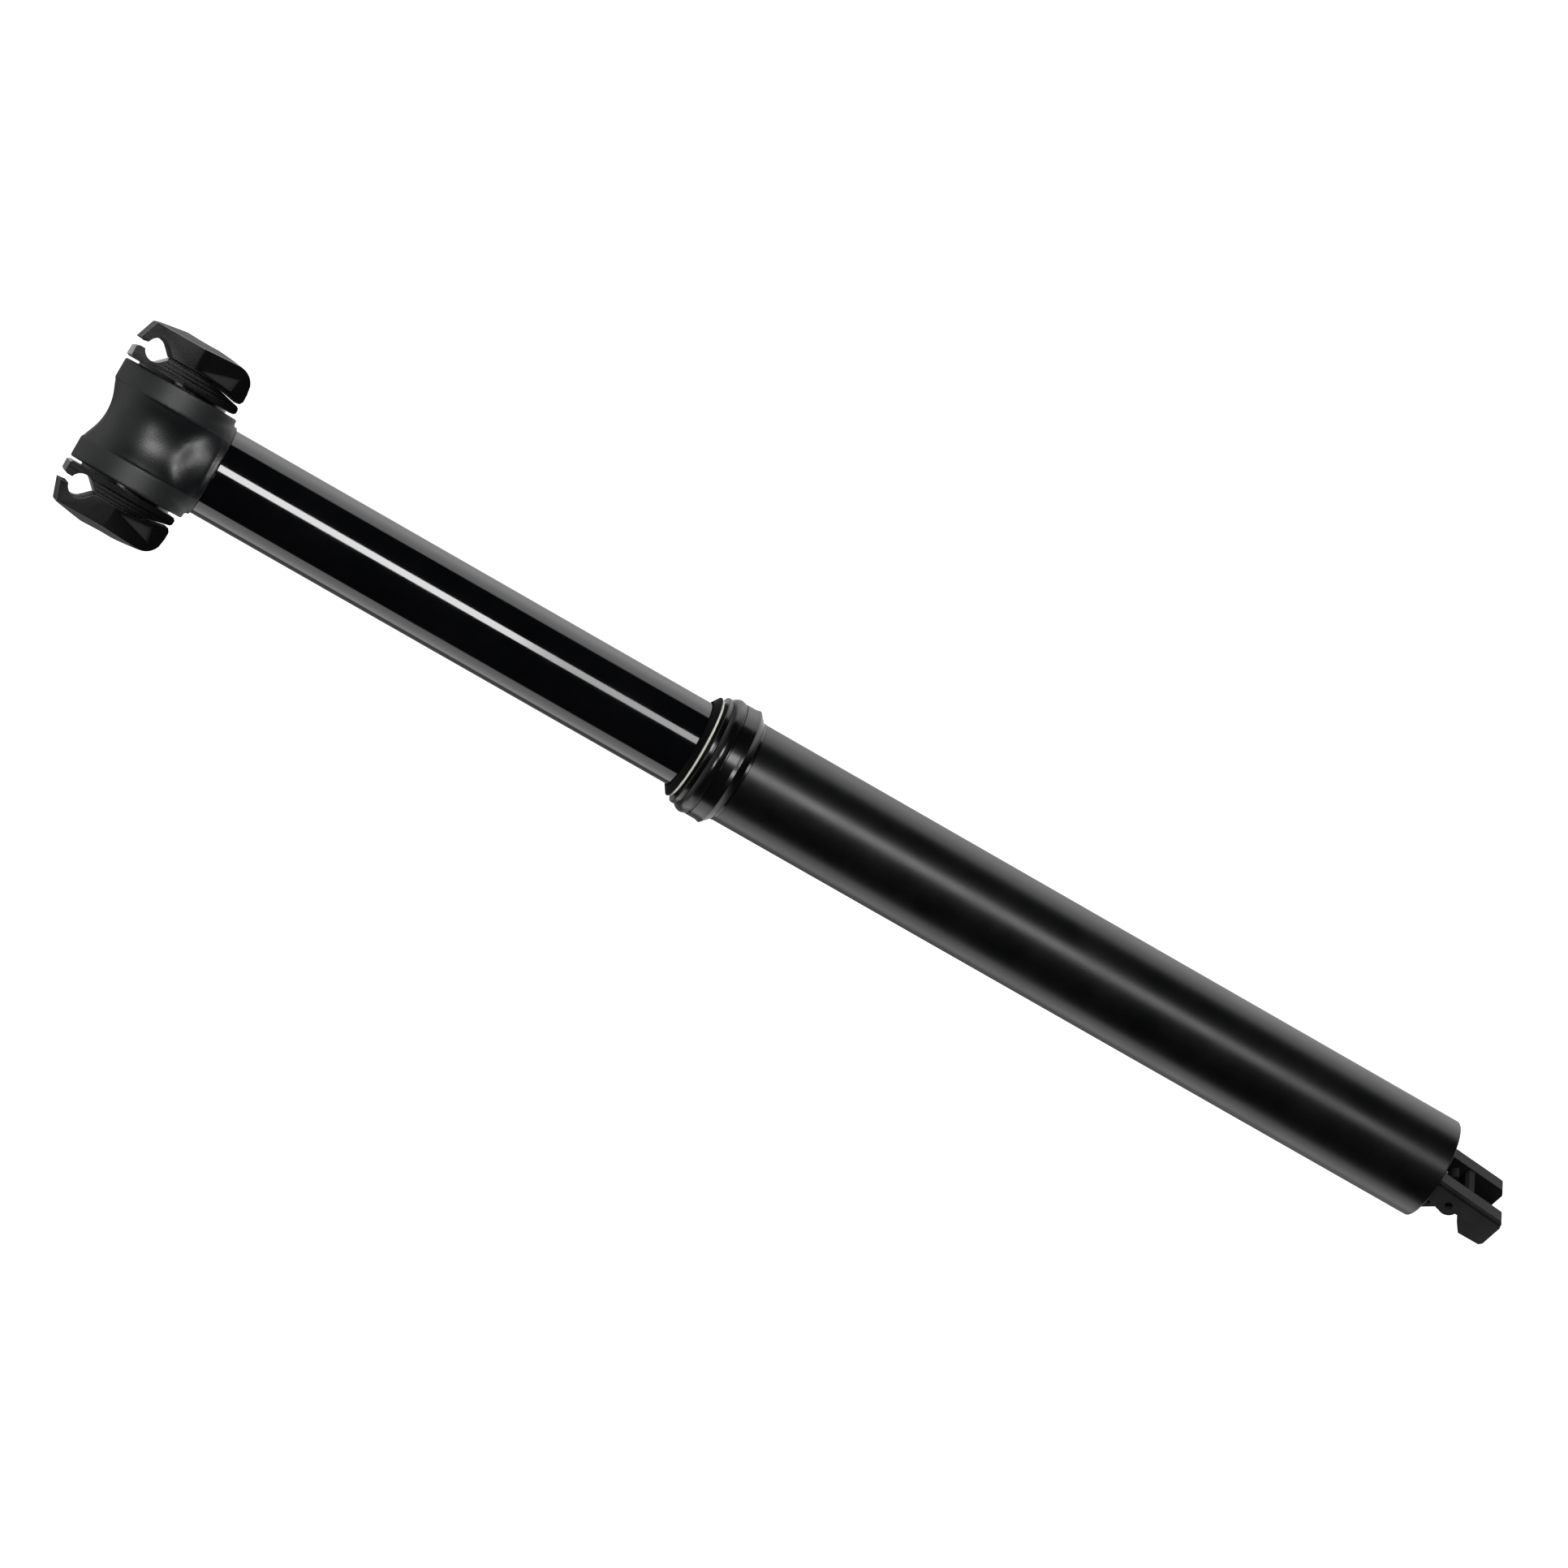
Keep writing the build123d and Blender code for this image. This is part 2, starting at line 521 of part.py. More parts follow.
def rail_groove():
    """Rail bore over the clamp's length, with the pointed relief under it."""
    z = BARREL_Z + RAIL_RISE
    bar = Cylinder(RAIL_D / 2, EAR_LENGTH + 2 * OVERRUN)
    side = GROOVE_POINT * math.sqrt(2)
    reach = RAIL_D / 2 * math.sqrt(2)
    relief = Box(EAR_LENGTH + 2 * OVERRUN, reach, reach, align=(Align.CENTER, Align.MAX, Align.MAX))
    drop = RAIL_D / 2 * math.sqrt(2) - side / math.sqrt(2)
    corner = Pos(0, 0, drop) * (Rot(45, 0, 0) * (Pos(0, reach / 2, reach / 2) * relief))
    return Pos(0, RAIL_Y, z) * (Rot(0, 90, 0) * bar + corner)


def tapered(length, foot_length, y_from, y_to):
    """Return the envelope that narrows a clamp piece towards its foot, seen along the bolt."""
    top = BARREL_Z + RAIL_RISE + HOOK_RISE
    foot = BARREL_Z - CLAMP_DROP
    waist = foot + (top - foot) / 2
    half = length / 2
    line = Polyline(
        (-half, 0, top + OVERRUN),
        (-half, 0, waist),
        (-foot_length / 2, 0, foot - OVERRUN),
        (foot_length / 2, 0, foot - OVERRUN),
        (half, 0, waist),
        (half, 0, top + OVERRUN),
        close=True,
    )
    return Pos(0, y_from, 0) * extrude(make_face(line), amount=y_to - y_from, dir=(0, 1, 0))


def ear_outline():
    """Return the face of a hooked ear's cross section."""

    def at(shares):
        return clamp_point(RAIL_Y + CLAMP_SPLIT / 2, EAR_DEPTH - CLAMP_SPLIT / 2, shares)

    foot = [at(s) for s in EAR_INNER_SHARES]
    corner = [at(s) for s in EAR_CORNER_SHARES]
    dome = [at(s) for s in EAR_DOME_SHARES]
    hook = [at(s) for s in EAR_HOOK_SHARES]
    line = Polyline(*foot)
    line += ThreePointArc(foot[-1], corner[0], corner[1])
    line += ThreePointArc(corner[1], dome[0], dome[1])
    line += Polyline(dome[1], *hook, foot[0])
    return make_face(line)


def outer_clamp():
    """Left hooked ear: domed outside, narrowed to its foot, with a recess in each end face."""
    body = extrude(ear_outline(), amount=EAR_LENGTH / 2, both=True)
    body &= tapered(EAR_LENGTH, EAR_FOOT_LENGTH, PLATE_Y, EAR_Y + OVERRUN)
    crown_z = BARREL_Z - CLAMP_DROP - OVERRUN
    crown = Cylinder(EAR_CROWN_R, CLAMP_HEIGHT + 2 * OVERRUN, align=(Align.CENTER, Align.CENTER, Align.MIN))
    body &= Pos(0, EAR_Y - EAR_CROWN_R, crown_z) * crown
    ends = body.faces().filter_by(lambda face: abs(face.normal_at().X) > END_FACE_SHARE)
    outside = [e for face in ends for e in face.edges() if e.center().Y > RAIL_Y + RAIL_D / 2]
    corner = clamp_point(RAIL_Y, EAR_DEPTH, EAR_CORNER_SHARES[-1])
    level = (corner[2] + BARREL_Z) / 2
    rims = [e for e in outside if e.center().Z > level and abs(e.tangent_at().Y) < CROSS_EDGE_SHARE]
    body = chamfer(rims, EAR_EDGE)
    body -= rail_groove()
    corners = [clamp_point(RAIL_Y, EAR_DEPTH, s) for s in RECESS_SHARES]
    face = make_face(Polyline(*corners, close=True))
    for side in (1, -1):
        pocket = extrude(face, amount=EAR_LENGTH / 2, dir=(side, 0, 0))
        slope = tapered(EAR_LENGTH - 2 * EAR_RECESS_DEPTH, EAR_FOOT_LENGTH - 2 * EAR_RECESS_DEPTH, 0, EAR_Y)
        body -= pocket - slope
    return body


def outer_clamp_left():
    """Left ear with the pocket for the bolt's head and washer."""
    pocket_r = WASHER_D / 2 + POCKET_CLEARANCE
    body = outer_clamp() - across(BOLT_HOLE_D / 2, PLATE_Y, EAR_Y)
    return body - across(pocket_r, WASHER_Y, EAR_Y + OVERRUN)


def nut_bar(radius, flats, y_from, y_to):
    """Return a round bar with two flats, along the bolt's axis."""
    size = 2 * radius
    block = Box(size, 2 * size, flats)
    return across(radius, y_from, y_to) & (Pos(0, (y_from + y_to) / 2, BARREL_Z) * block)


def outer_clamp_right():
    """Right ear with the flatted pocket that holds the nut."""
    gap = POCKET_CLEARANCE
    body = outer_clamp()
    body -= across(NUT_SPIGOT_D / 2 + gap, PLATE_Y, EAR_Y)
    body -= nut_bar(NUT_D / 2 + gap, NUT_FLATS + gap, WASHER_Y, EAR_Y + OVERRUN)
    return mirrored(body)


def inner_clamp():
    """Left inner plate: lower half of the rail bore, on a round hub that turns in the barrel."""
    depth = RAIL_Y - CLAMP_SPLIT / 2 - PLATE_Y
    points = [clamp_point(PLATE_Y, depth, s) for s in PLATE_SHARES + PLATE_LIP_SHARES]
    body = extrude(make_face(Polyline(*points, close=True)), amount=PLATE_LENGTH / 2, both=True)
    body &= tapered(PLATE_LENGTH, PLATE_FOOT_LENGTH, PLATE_Y, PLATE_Y + PLATE_THICK) + tapered(
        PLATE_LENGTH - 2 * PLATE_STEP, PLATE_FOOT_LENGTH - 2 * PLATE_STEP, PLATE_Y, RAIL_Y
    )
    body -= rail_groove()
    body += across(HUB_R - RUN_FIT, BARREL_HALF - HUB_DEPTH + BODY_GAP, PLATE_Y)
    return body - across(BOLT_HOLE_D / 2, 0, RAIL_Y)


def clamp_bolt():
    """Socket head bolt across the clamp, its thread left plain."""
    end_y = BOLT_END_SHORT - NUT_END_Y
    head_y = BOLT_HEAD_Y + BOLT_HEAD_HEIGHT
    bolt = across(BOLT_D / 2, end_y, BOLT_HEAD_Y)
    bolt += chamfer(across(BOLT_HEAD_D / 2, BOLT_HEAD_Y, head_y).edges().sort_by(Axis.Y)[-1], BOLT_EDGE)
    socket_r = BOLT_SOCKET_AF / math.sqrt(3)
    socket = extrude(RegularPolygon(socket_r, 6), amount=BOLT_SOCKET_DEPTH + OVERRUN)
    return bolt - Pos(0, head_y - BOLT_SOCKET_DEPTH, BARREL_Z) * (Rot(-90, 0, 0) * socket)


def bolt_washer():
    """Flat washer under the bolt's head."""
    ring = across(WASHER_D / 2, WASHER_Y, BOLT_HEAD_Y)
    return ring - across(BOLT_D / 2 + RUN_FIT, WASHER_Y, BOLT_HEAD_Y)


def clamp_nut():
    """Flatted nut with a spigot that goes through the right ear."""
    nut = nut_bar(NUT_D / 2, NUT_FLATS, WASHER_Y, NUT_END_Y)
    nut += across(NUT_SPIGOT_D / 2, WASHER_Y - NUT_SPIGOT_LENGTH, WASHER_Y)
    nut -= across(BOLT_D / 2 + RUN_FIT, WASHER_Y - NUT_SPIGOT_LENGTH, NUT_END_Y)
    return mirrored(nut)


def foot_plug():
    """Screwed plug at the tube's foot that carries the cartridge rod."""
    plug = rod(TUBE_BORE_R - SEAT_FIT, FOOT_PLUG_Z, FOOT_PLUG_TOP_Z)
    plug -= rod(ROD_END_D / 2 + SEAT_FIT, FOOT_PLUG_Z, FOOT_PLUG_TOP_Z)
    middle = (FOOT_PLUG_Z + FOOT_PLUG_TOP_Z) / 2
    groove = FOOT_SEAL_WIRE_D / 2
    plug -= tube(TUBE_BORE_R + OVERRUN, TUBE_BORE_R - FOOT_SEAL_WIRE_D, middle - groove, middle + groove)
    for side in (1, -1):
        hole = rod(SPANNER_HOLE_D / 2, FOOT_PLUG_TOP_Z - SPANNER_DEPTH, FOOT_PLUG_TOP_Z)
        plug -= Pos(side * (TUBE_THREAD_R - SPANNER_INSET), 0, 0) * hole
    return plug


def cartridge_rod():
    """Hollow rod from the foot plug up to the piston, reduced at both ends."""
    end_r = ROD_END_D / 2
    bar = rod(ROD_D / 2, FOOT_PLUG_TOP_Z, ROD_PISTON_Z)
    bar += rod(end_r, ROD_END_Z, FOOT_PLUG_TOP_Z)
    bar += rod(end_r, ROD_PISTON_Z, ROD_PISTON_TOP_Z)
    return bar - rod(ROD_BORE_D / 2, ROD_END_Z, ROD_PISTON_TOP_Z)


def sealed_piston(radius, low, high):
    """Return a piston with a square groove for its O-ring at mid height."""
    middle = (low + high) / 2
    half = SEAL_WIRE_D / 2
    return rod(radius, low, high) - tube(radius + OVERRUN, radius - SEAL_WIRE_D, middle - half, middle + half)


def rod_piston():
    """Piston on the cartridge rod's top end."""
    body = sealed_piston(CYLINDER_BORE_R - RUN_FIT, ROD_PISTON_Z, ROD_PISTON_TOP_Z)
    return body - rod(ROD_END_D / 2 + SEAT_FIT, ROD_PISTON_Z, ROD_PISTON_TOP_Z)


def bore_seal(low, high):
    """Return the O-ring that seals a piston between the two levels to the cylinder's bore."""
    wire = SEAL_WIRE_D - SEAL_SQUEEZE
    return ring_seal(CYLINDER_BORE_R - RUN_FIT - wire / 2, wire, (low + high) / 2)


def rod_bumper():
    """Top-out bumper between the piston and the gland."""
    high = ROD_PISTON_Z
    return tube(ROD_D / 2 + FLOAT_WALL, ROD_D / 2 + SEAT_FIT, high - BUMPER_HEIGHT, high)


def cartridge_cylinder():
    """Cartridge cylinder, closed by the gland below and the cap above."""
    return tube(CYLINDER_R, CYLINDER_BORE_R, STANCHION_BOTTOM_Z + GLAND_FLANGE, CYLINDER_TOP_Z)


def cartridge_gland():
    """Gland at the cylinder's foot, with the rod's bore and seal groove."""
    low = STANCHION_BOTTOM_Z
    seat = low + GLAND_FLANGE
    body = rod(CYLINDER_R, low, seat) + rod(CYLINDER_BORE_R - SEAT_FIT, seat, GLAND_TOP_Z)
    body -= rod(ROD_D / 2 + RUN_FIT, low, GLAND_TOP_Z)
    half = ROD_SEAL_WIRE_D / 2
    middle = seat + GLAND_PLUG / 2
    return body - rod(ROD_D / 2 + ROD_SEAL_WIRE_D, middle - half, middle + half)


def gland_seal():
    """Rod seal in the gland."""
    wire = ROD_SEAL_WIRE_D - SEAL_SQUEEZE
    middle = GLAND_TOP_Z - GLAND_PLUG / 2
    return ring_seal(ROD_D / 2 + RUN_FIT + wire / 2, wire, middle)


def cartridge_cap():
    """Cap at the cylinder's top, located by its nose in the head's spigot."""
    cap = rod(CYLINDER_BORE_R - SEAT_FIT, CYLINDER_TOP_Z - CAP_PLUG, CYLINDER_TOP_Z)
    cap += rod(CYLINDER_R, CYLINDER_TOP_Z, CAP_FLANGE_TOP_Z)
    return cap + rod(SPIGOT_BORE_R, CAP_FLANGE_TOP_Z, CAP_FLANGE_TOP_Z + CAP_NOSE_LENGTH)


def cartridge_retainer():
    """Threaded ring that holds the cartridge's foot in the stanchion."""
    low = STANCHION_BOTTOM_Z
    return tube(STANCHION_BORE_R - SEAT_FIT, CYLINDER_R + SEAT_FIT, low, low + RETAINER_HEIGHT)


def floating_piston():
    """Floating piston between the oil and the gas, hollow on the gas side."""
    top = FLOAT_Z + FLOAT_HEIGHT
    radius = CYLINDER_BORE_R - RUN_FIT
    body = sealed_piston(radius, FLOAT_Z, top)
    return body - rod(radius - SEAL_WIRE_D - FLOAT_WALL, FLOAT_Z + FLOAT_WALL, top)


def rod_nut():
    """Thin hexagon nut that clamps the actuator to the foot plug."""
    nut = extrude(RegularPolygon(NUT_AF / math.sqrt(3), 6), amount=NUT_HEIGHT)
    nut = Rot(0, 0, ACTUATOR_TURN) * (Pos(0, 0, FLANGE_PLATE_Z - NUT_HEIGHT) * nut)
    return nut - rod(ROD_END_D / 2 + SEAT_FIT, FLANGE_PLATE_Z - NUT_HEIGHT, FLANGE_PLATE_Z)


def cheek_face():
    """Return the outline of an actuator cheek, seen across the lever's pin."""
    top = FLANGE_PLATE_Z
    corner = HOOK_CORNER
    ear_turn = math.radians(EAR_TANGENT_TURN)
    ear_foot = PIVOT_Z - math.sqrt(EAR_PIN_R**2 - (CHEEK_WAIST + PIVOT_W) ** 2)
    ear_start = (0, PIVOT_W + EAR_PIN_R * math.cos(ear_turn), PIVOT_Z + EAR_PIN_R * math.sin(ear_turn))
    ear_end = (0, -CHEEK_WAIST, ear_foot)
    line = Polyline(
        (0, CHEEK_TOP_RIGHT, top),
        (0, -CHEEK_TOP_LEFT, top),
        (0, -CHEEK_TOP_LEFT, LUG_TOP_Z),
        ear_start,
    )
    line += ThreePointArc(ear_start, (0, PIVOT_W - EAR_PIN_R, PIVOT_Z), ear_end)
    line += Polyline(
        ear_end,
        (0, -CHEEK_WAIST, HOOK_TOP_Z),
        (0, PIVOT_W - EAR_PIN_R, HOOK_TOP_Z),
        (0, -CHEEK_LEFT, HOOK_TOP_Z - HOOK_SLOPE),
        (0, -CHEEK_LEFT, HOOK_BOTTOM_Z + corner),
        (0, corner - CHEEK_LEFT, HOOK_BOTTOM_Z),
        (0, corner / 2, CHEEK_FOOT_Z),
        (0, CHEEK_FOOT_RIGHT, CHEEK_FOOT_Z + corner),
        (0, CHEEK_TOP_RIGHT, top),
    )
    face = make_face(line)
    feet = face.vertices().sort_by(Axis.Z)[:2]
    return fillet(feet, CHEEK_FOOT_ROUND)


def cheek_groove():
    """Return the cutter of the groove down a cheek's outer side, behind its front edge."""
    top = FLANGE_PLATE_Z
    near = -CHEEK_EDGE - CHEEK_GROOVE_INSET
    far = near - CHEEK_GROOVE_WIDTH
    line = Polyline(
        (0, CHEEK_TOP_RIGHT + near, top - CHEEK_GROOVE_INSET),
        (0, CHEEK_TOP_RIGHT + far, top - CHEEK_GROOVE_INSET),
        (0, CHEEK_FOOT_RIGHT + far, CHEEK_FOOT_Z - OVERRUN),
        (0, CHEEK_FOOT_RIGHT + near, CHEEK_FOOT_Z - OVERRUN),
        close=True,
    )
    return Pos(CHEEK_OUTER - CHEEK_GROOVE_DEPTH, 0, 0) * extrude(make_face(line), amount=CHEEK_EDGE + OVERRUN, dir=(1, 0, 0))


def actuator_body():
    """Actuator casting: two cheeks under a flange, a cross bridge, and the housing stop between the hooks."""
    thick = CHEEK_OUTER - CHEEK_INNER
    cheek = Pos(CHEEK_INNER, 0, 0) * extrude(cheek_face(), amount=thick, dir=(1, 0, 0))
    outside = [e for e in cheek.faces().sort_by(Axis.X)[-1].edges() if e.center().Z < FLANGE_PLATE_Z - CHEEK_EDGE]
    cheek = chamfer(outside, CHEEK_EDGE) - cheek_groove()
    slope = (CHEEK_TOP_RIGHT - CHEEK_FOOT_RIGHT) / (FLANGE_PLATE_Z - CHEEK_FOOT_Z)
    front = CHEEK_TOP_RIGHT - slope * (FLANGE_PLATE_Z - BRIDGE_Z) - BRIDGE_INSET
    bridge = Box(2 * CHEEK_INNER, BRIDGE_DEPTH, BRIDGE_THICK, align=(Align.CENTER, Align.MAX, Align.MIN))
    stop_right = STOP_W + STOP_BORE_D / 2 + STOP_WALL
    stop_depth = stop_right + CHEEK_LEFT
    stop_height = STOP_TOP_Z - HOOK_BOTTOM_Z
    stop = Box(2 * CHEEK_INNER, stop_depth, stop_height, align=(Align.CENTER, Align.MAX, Align.MAX))
    body = rod(FLANGE_PLATE_R, FLANGE_PLATE_Z, FOOT_PLUG_Z) + cheek + mirror(cheek, Plane.YZ)
    body += Pos(0, front, BRIDGE_Z) * bridge
    body += Pos(0, stop_right, STOP_TOP_Z) * stop
    body -= rod(ROD_END_D / 2 + SEAT_FIT, FLANGE_PLATE_Z, FOOT_PLUG_Z)
    body -= along_pin(PIVOT_D / 2 + SEAT_FIT, CHEEK_OUTER + OVERRUN, PIVOT_W, PIVOT_Z)
    body -= along_pin(LUG_HOLE_D / 2, CHEEK_OUTER + OVERRUN, LUG_HOLE_W, LUG_HOLE_Z)
    body -= Pos(0, STOP_W, 0) * rod(STOP_BORE_D / 2, HOOK_BOTTOM_Z, HOOK_BOTTOM_Z + STOP_BORE_DEPTH)
    body -= Pos(0, STOP_W, 0) * rod(WIRE_HOLE_D / 2, HOOK_BOTTOM_Z, STOP_TOP_Z)
    slot = Box(WIRE_SLOT, CHEEK_LEFT, stop_height, align=(Align.CENTER, Align.MAX, Align.MAX))
    body -= Pos(0, STOP_W, STOP_TOP_Z) * slot
    return Rot(0, 0, ACTUATOR_TURN) * body


def along_pin(radius, half, w, z):
    """Return a round bar along the lever pin's direction, before the actuator is turned."""
    return Pos(0, w, z) * (Rot(0, 90, 0) * Cylinder(radius, 2 * half))


def pivot_pin():
    """Lever pin, sunk a little in both cheeks."""
    return Rot(0, 0, ACTUATOR_TURN) * along_pin(PIVOT_D / 2, CHEEK_OUTER - PIVOT_SHORT, PIVOT_W, PIVOT_Z)


def lobe_point(roll):
    """Return the involute lobe's point at a roll angle, so that the pin's lift follows the lever's angle."""
    c = math.cos(roll)
    s = math.sin(roll)
    pull = LOBE_RISE - LOBE_BASE_R * roll
    return (0, PIVOT_W + LOBE_BASE_R * c - pull * s, PIVOT_Z + LOBE_BASE_R * s + pull * c)


def cam_lever():
    """Cam lever: hub on the pin, involute lobe under the valve pin, and a slotted arm for the cable's end."""
    step = (LOBE_FRONT_ROLL - LOBE_BACK_ROLL) / (LOBE_POINTS - 1)
    curve = [lobe_point(LOBE_BACK_ROLL + step * i) for i in range(LOBE_POINTS)]
    centre = (0, PIVOT_W, PIVOT_Z)
    lobe_face = make_face(Spline(*curve) + Polyline(curve[-1], centre, curve[0]))
    lobe = extrude(lobe_face, amount=LOBE_HALF, dir=(1, 0, 0), both=True)
    hub = along_pin(LEVER_HUB_R, LEVER_HALF, PIVOT_W, PIVOT_Z)
    tip = along_pin(ARM_TIP_R, LEVER_HALF, STOP_W, PIVOT_Z)
    length = PIVOT_W - STOP_W
    arm = Pos(0, (PIVOT_W + STOP_W) / 2, PIVOT_Z) * Box(2 * LEVER_HALF, length, 2 * ARM_TIP_R)
    body = hub + tip + arm + lobe
    body -= along_pin(PIVOT_D / 2 + RUN_FIT, LEVER_HALF, PIVOT_W, PIVOT_Z)
    body -= along_pin(BARREL_SEAT_D / 2, LEVER_HALF, STOP_W, PIVOT_Z)
    slot_height = ARM_TIP_R + OVERRUN
    slot = Box(WIRE_SLOT, 2 * ARM_TIP_R, slot_height, align=(Align.CENTER, Align.MAX, Align.MAX))
    body -= Pos(0, STOP_W + WIRE_SLOT / 2, PIVOT_Z) * slot
    return Rot(0, 0, ACTUATOR_TURN) * body


def valve_pin():
    """Push pin inside the hollow rod, from the cam's lobe to the valve in the piston."""
    return rod(VALVE_PIN_D / 2, VALVE_PIN_Z, VALVE_PIN_TOP_Z)


def foot_seal():
    """O-ring round the foot plug."""
    wire = FOOT_SEAL_WIRE_D - SEAL_SQUEEZE
    middle = (FOOT_PLUG_Z + FOOT_PLUG_TOP_Z) / 2
    return ring_seal(TUBE_BORE_R - SEAT_FIT - wire / 2, wire, middle)


def nodes():
    """Return every node's name with its solid."""
    return {
        "outer_tube": outer_tube(),
        "seal_collar": seal_collar(),
        "wiper_seal": wiper_seal(),
        "wiper_spring": wiper_spring(),
        "upper_bush_front": upper_bush_half(1),
        "upper_bush_rear": upper_bush_half(-1),
        "foot_plug": foot_plug(),
        "foot_seal": foot_seal(),
        "cartridge_rod": cartridge_rod(),
        "rod_piston": rod_piston(),
        "rod_piston_seal": bore_seal(ROD_PISTON_Z, ROD_PISTON_TOP_Z),
        "rod_bumper": rod_bumper(),
        "rod_nut": rod_nut(),
        "actuator_body": actuator_body(),
        "pivot_pin": pivot_pin(),
        "cam_lever": cam_lever(),
        "valve_pin": valve_pin(),
        "stanchion": stanchion(),
        "key_pins": key_pins(),
        "lower_bush": lower_bush(),
        "bush_ring": bush_ring(),
        "head": head(),
        "cartridge_cylinder": cartridge_cylinder(),
        "cartridge_gland": cartridge_gland(),
        "gland_seal": gland_seal(),
        "cartridge_cap": cartridge_cap(),
        "cartridge_retainer": cartridge_retainer(),
        "floating_piston": floating_piston(),
        "floating_piston_seal": bore_seal(FLOAT_Z, FLOAT_Z + FLOAT_HEIGHT),
        "inner_clamp_left": inner_clamp(),
        "inner_clamp_right": mirrored(inner_clamp()),
        "outer_clamp_left": outer_clamp_left(),
        "outer_clamp_right": outer_clamp_right(),
        "clamp_bolt": clamp_bolt(),
        "bolt_washer": bolt_washer(),
        "clamp_nut": clamp_nut(),
    }


def main():
    """Build every piece and write its STEP file."""
    os.makedirs("parts", exist_ok=True)
    for name, shape in nodes().items():
        export_step(shape, "parts/" + name + ".step")
        print(name, round(shape.volume), "mm3")


main()
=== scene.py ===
"""Studio scene of a dropper seatpost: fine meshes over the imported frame, finishes, camera and lights."""

import json
import logging
import math
from collections.abc import Callable, Iterator
from contextlib import contextmanager
from dataclasses import dataclass
from enum import Enum

import bpy
from mathutils import Matrix, Vector

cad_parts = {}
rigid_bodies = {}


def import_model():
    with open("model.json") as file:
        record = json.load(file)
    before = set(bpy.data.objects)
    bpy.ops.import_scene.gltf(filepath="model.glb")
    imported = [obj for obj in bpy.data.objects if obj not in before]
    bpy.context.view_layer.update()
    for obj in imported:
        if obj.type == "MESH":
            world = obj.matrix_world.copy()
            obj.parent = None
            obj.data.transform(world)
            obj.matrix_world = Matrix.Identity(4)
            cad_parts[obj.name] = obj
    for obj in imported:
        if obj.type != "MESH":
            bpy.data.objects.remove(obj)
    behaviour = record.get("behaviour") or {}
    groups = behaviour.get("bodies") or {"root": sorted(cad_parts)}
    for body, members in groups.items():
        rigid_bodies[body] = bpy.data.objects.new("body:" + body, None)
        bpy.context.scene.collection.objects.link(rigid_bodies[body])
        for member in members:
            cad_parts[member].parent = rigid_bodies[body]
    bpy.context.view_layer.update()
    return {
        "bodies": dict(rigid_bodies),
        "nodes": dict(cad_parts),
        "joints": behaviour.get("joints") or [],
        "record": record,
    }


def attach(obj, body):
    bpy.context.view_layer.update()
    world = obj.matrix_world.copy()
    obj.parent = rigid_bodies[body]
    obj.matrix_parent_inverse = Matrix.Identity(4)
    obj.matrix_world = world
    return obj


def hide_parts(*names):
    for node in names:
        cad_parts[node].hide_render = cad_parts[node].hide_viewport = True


logging.basicConfig(level=logging.INFO, format="%(name)s: %(message)s")

MM = 0.001
FULL_TURN = 2 * math.pi
FINE_STEPS = 256
BEVEL_ANGLE = 28.0
SMOOTH_ANGLE = 30.0

# Distances in millimetres below which vertices of a traced, a turned and a flat outline are merged.
TRACE_MERGE = 0.0005
TURN_MERGE = 0.002
FLAT_MERGE = 0.001

# How far a cutting tool runs past the piece that it cuts, in millimetres.
OVERRUN = 1.0

# How far a mask reaches past the faces of its own zone, in millimetres.
EDGE_MARGIN = 0.05

# Levels and detail of the noises that the finishes share.
PATCH_LEVELS = (0.32, 0.68)
PATCH_DETAIL = 5.0
PATCH_ROUGHNESS = 0.62
GRAIN_DETAIL = 4.0
GRAIN_STRETCH = 0.02

Piece = bpy.types.Object
Tree = bpy.types.NodeTree
Socket = bpy.types.NodeSocket
Point = tuple[float, float]
Ramp = tuple[float, float, float, float]


class Texture(Enum):
    """The fine relief that a finish carries."""

    BLASTED = "blasted"
    TURNED = "turned"
    DRAWN = "drawn"
    MOULDED = "moulded"
    COILED = "coiled"


class Zone(Enum):
    """A part of a piece that is rougher, and whose tone is painted light: a painted highlight on the head's
    bands and the ears' pockets, painted shade in the actuator's slot.
    """

    POCKETS = "cast_pockets"
    BANDS = "turned_bands"
    SLOT = "milled_slot"


class Axis(Enum):
    """The axis that an outline is turned about."""

    POST = (0.0, 0.0, 1.0)
    CROSS = (0.0, 1.0, 0.0)


@dataclass(frozen=True)
class Corner:
    """One corner of an outline in millimetres, with the radius that rounds it."""

    across: float
    up: float
    radius: float = 0.0


@dataclass(frozen=True)
class Finish:
    """How one kind of surface looks, all of it from formulas; a relief is in millimetres."""

    name: str
    tone: tuple[float, float, float]
    second: tuple[float, float, float]
    rough: float
    rough_spread: float
    texture: Texture
    relief: float
    grain: float = 1400.0
    specular: float = 0.5
    metallic: float = 0.0
    patch: float = 60.0
    # A zone is rougher, and its tone is painted light: lighter for a painted highlight, darker for painted
    # shade.
    zone: Zone | None = None
    zone_rough: float = 0.0
    zone_painted_light_tone: tuple[float, float, float] = (0.0, 0.0, 0.0)


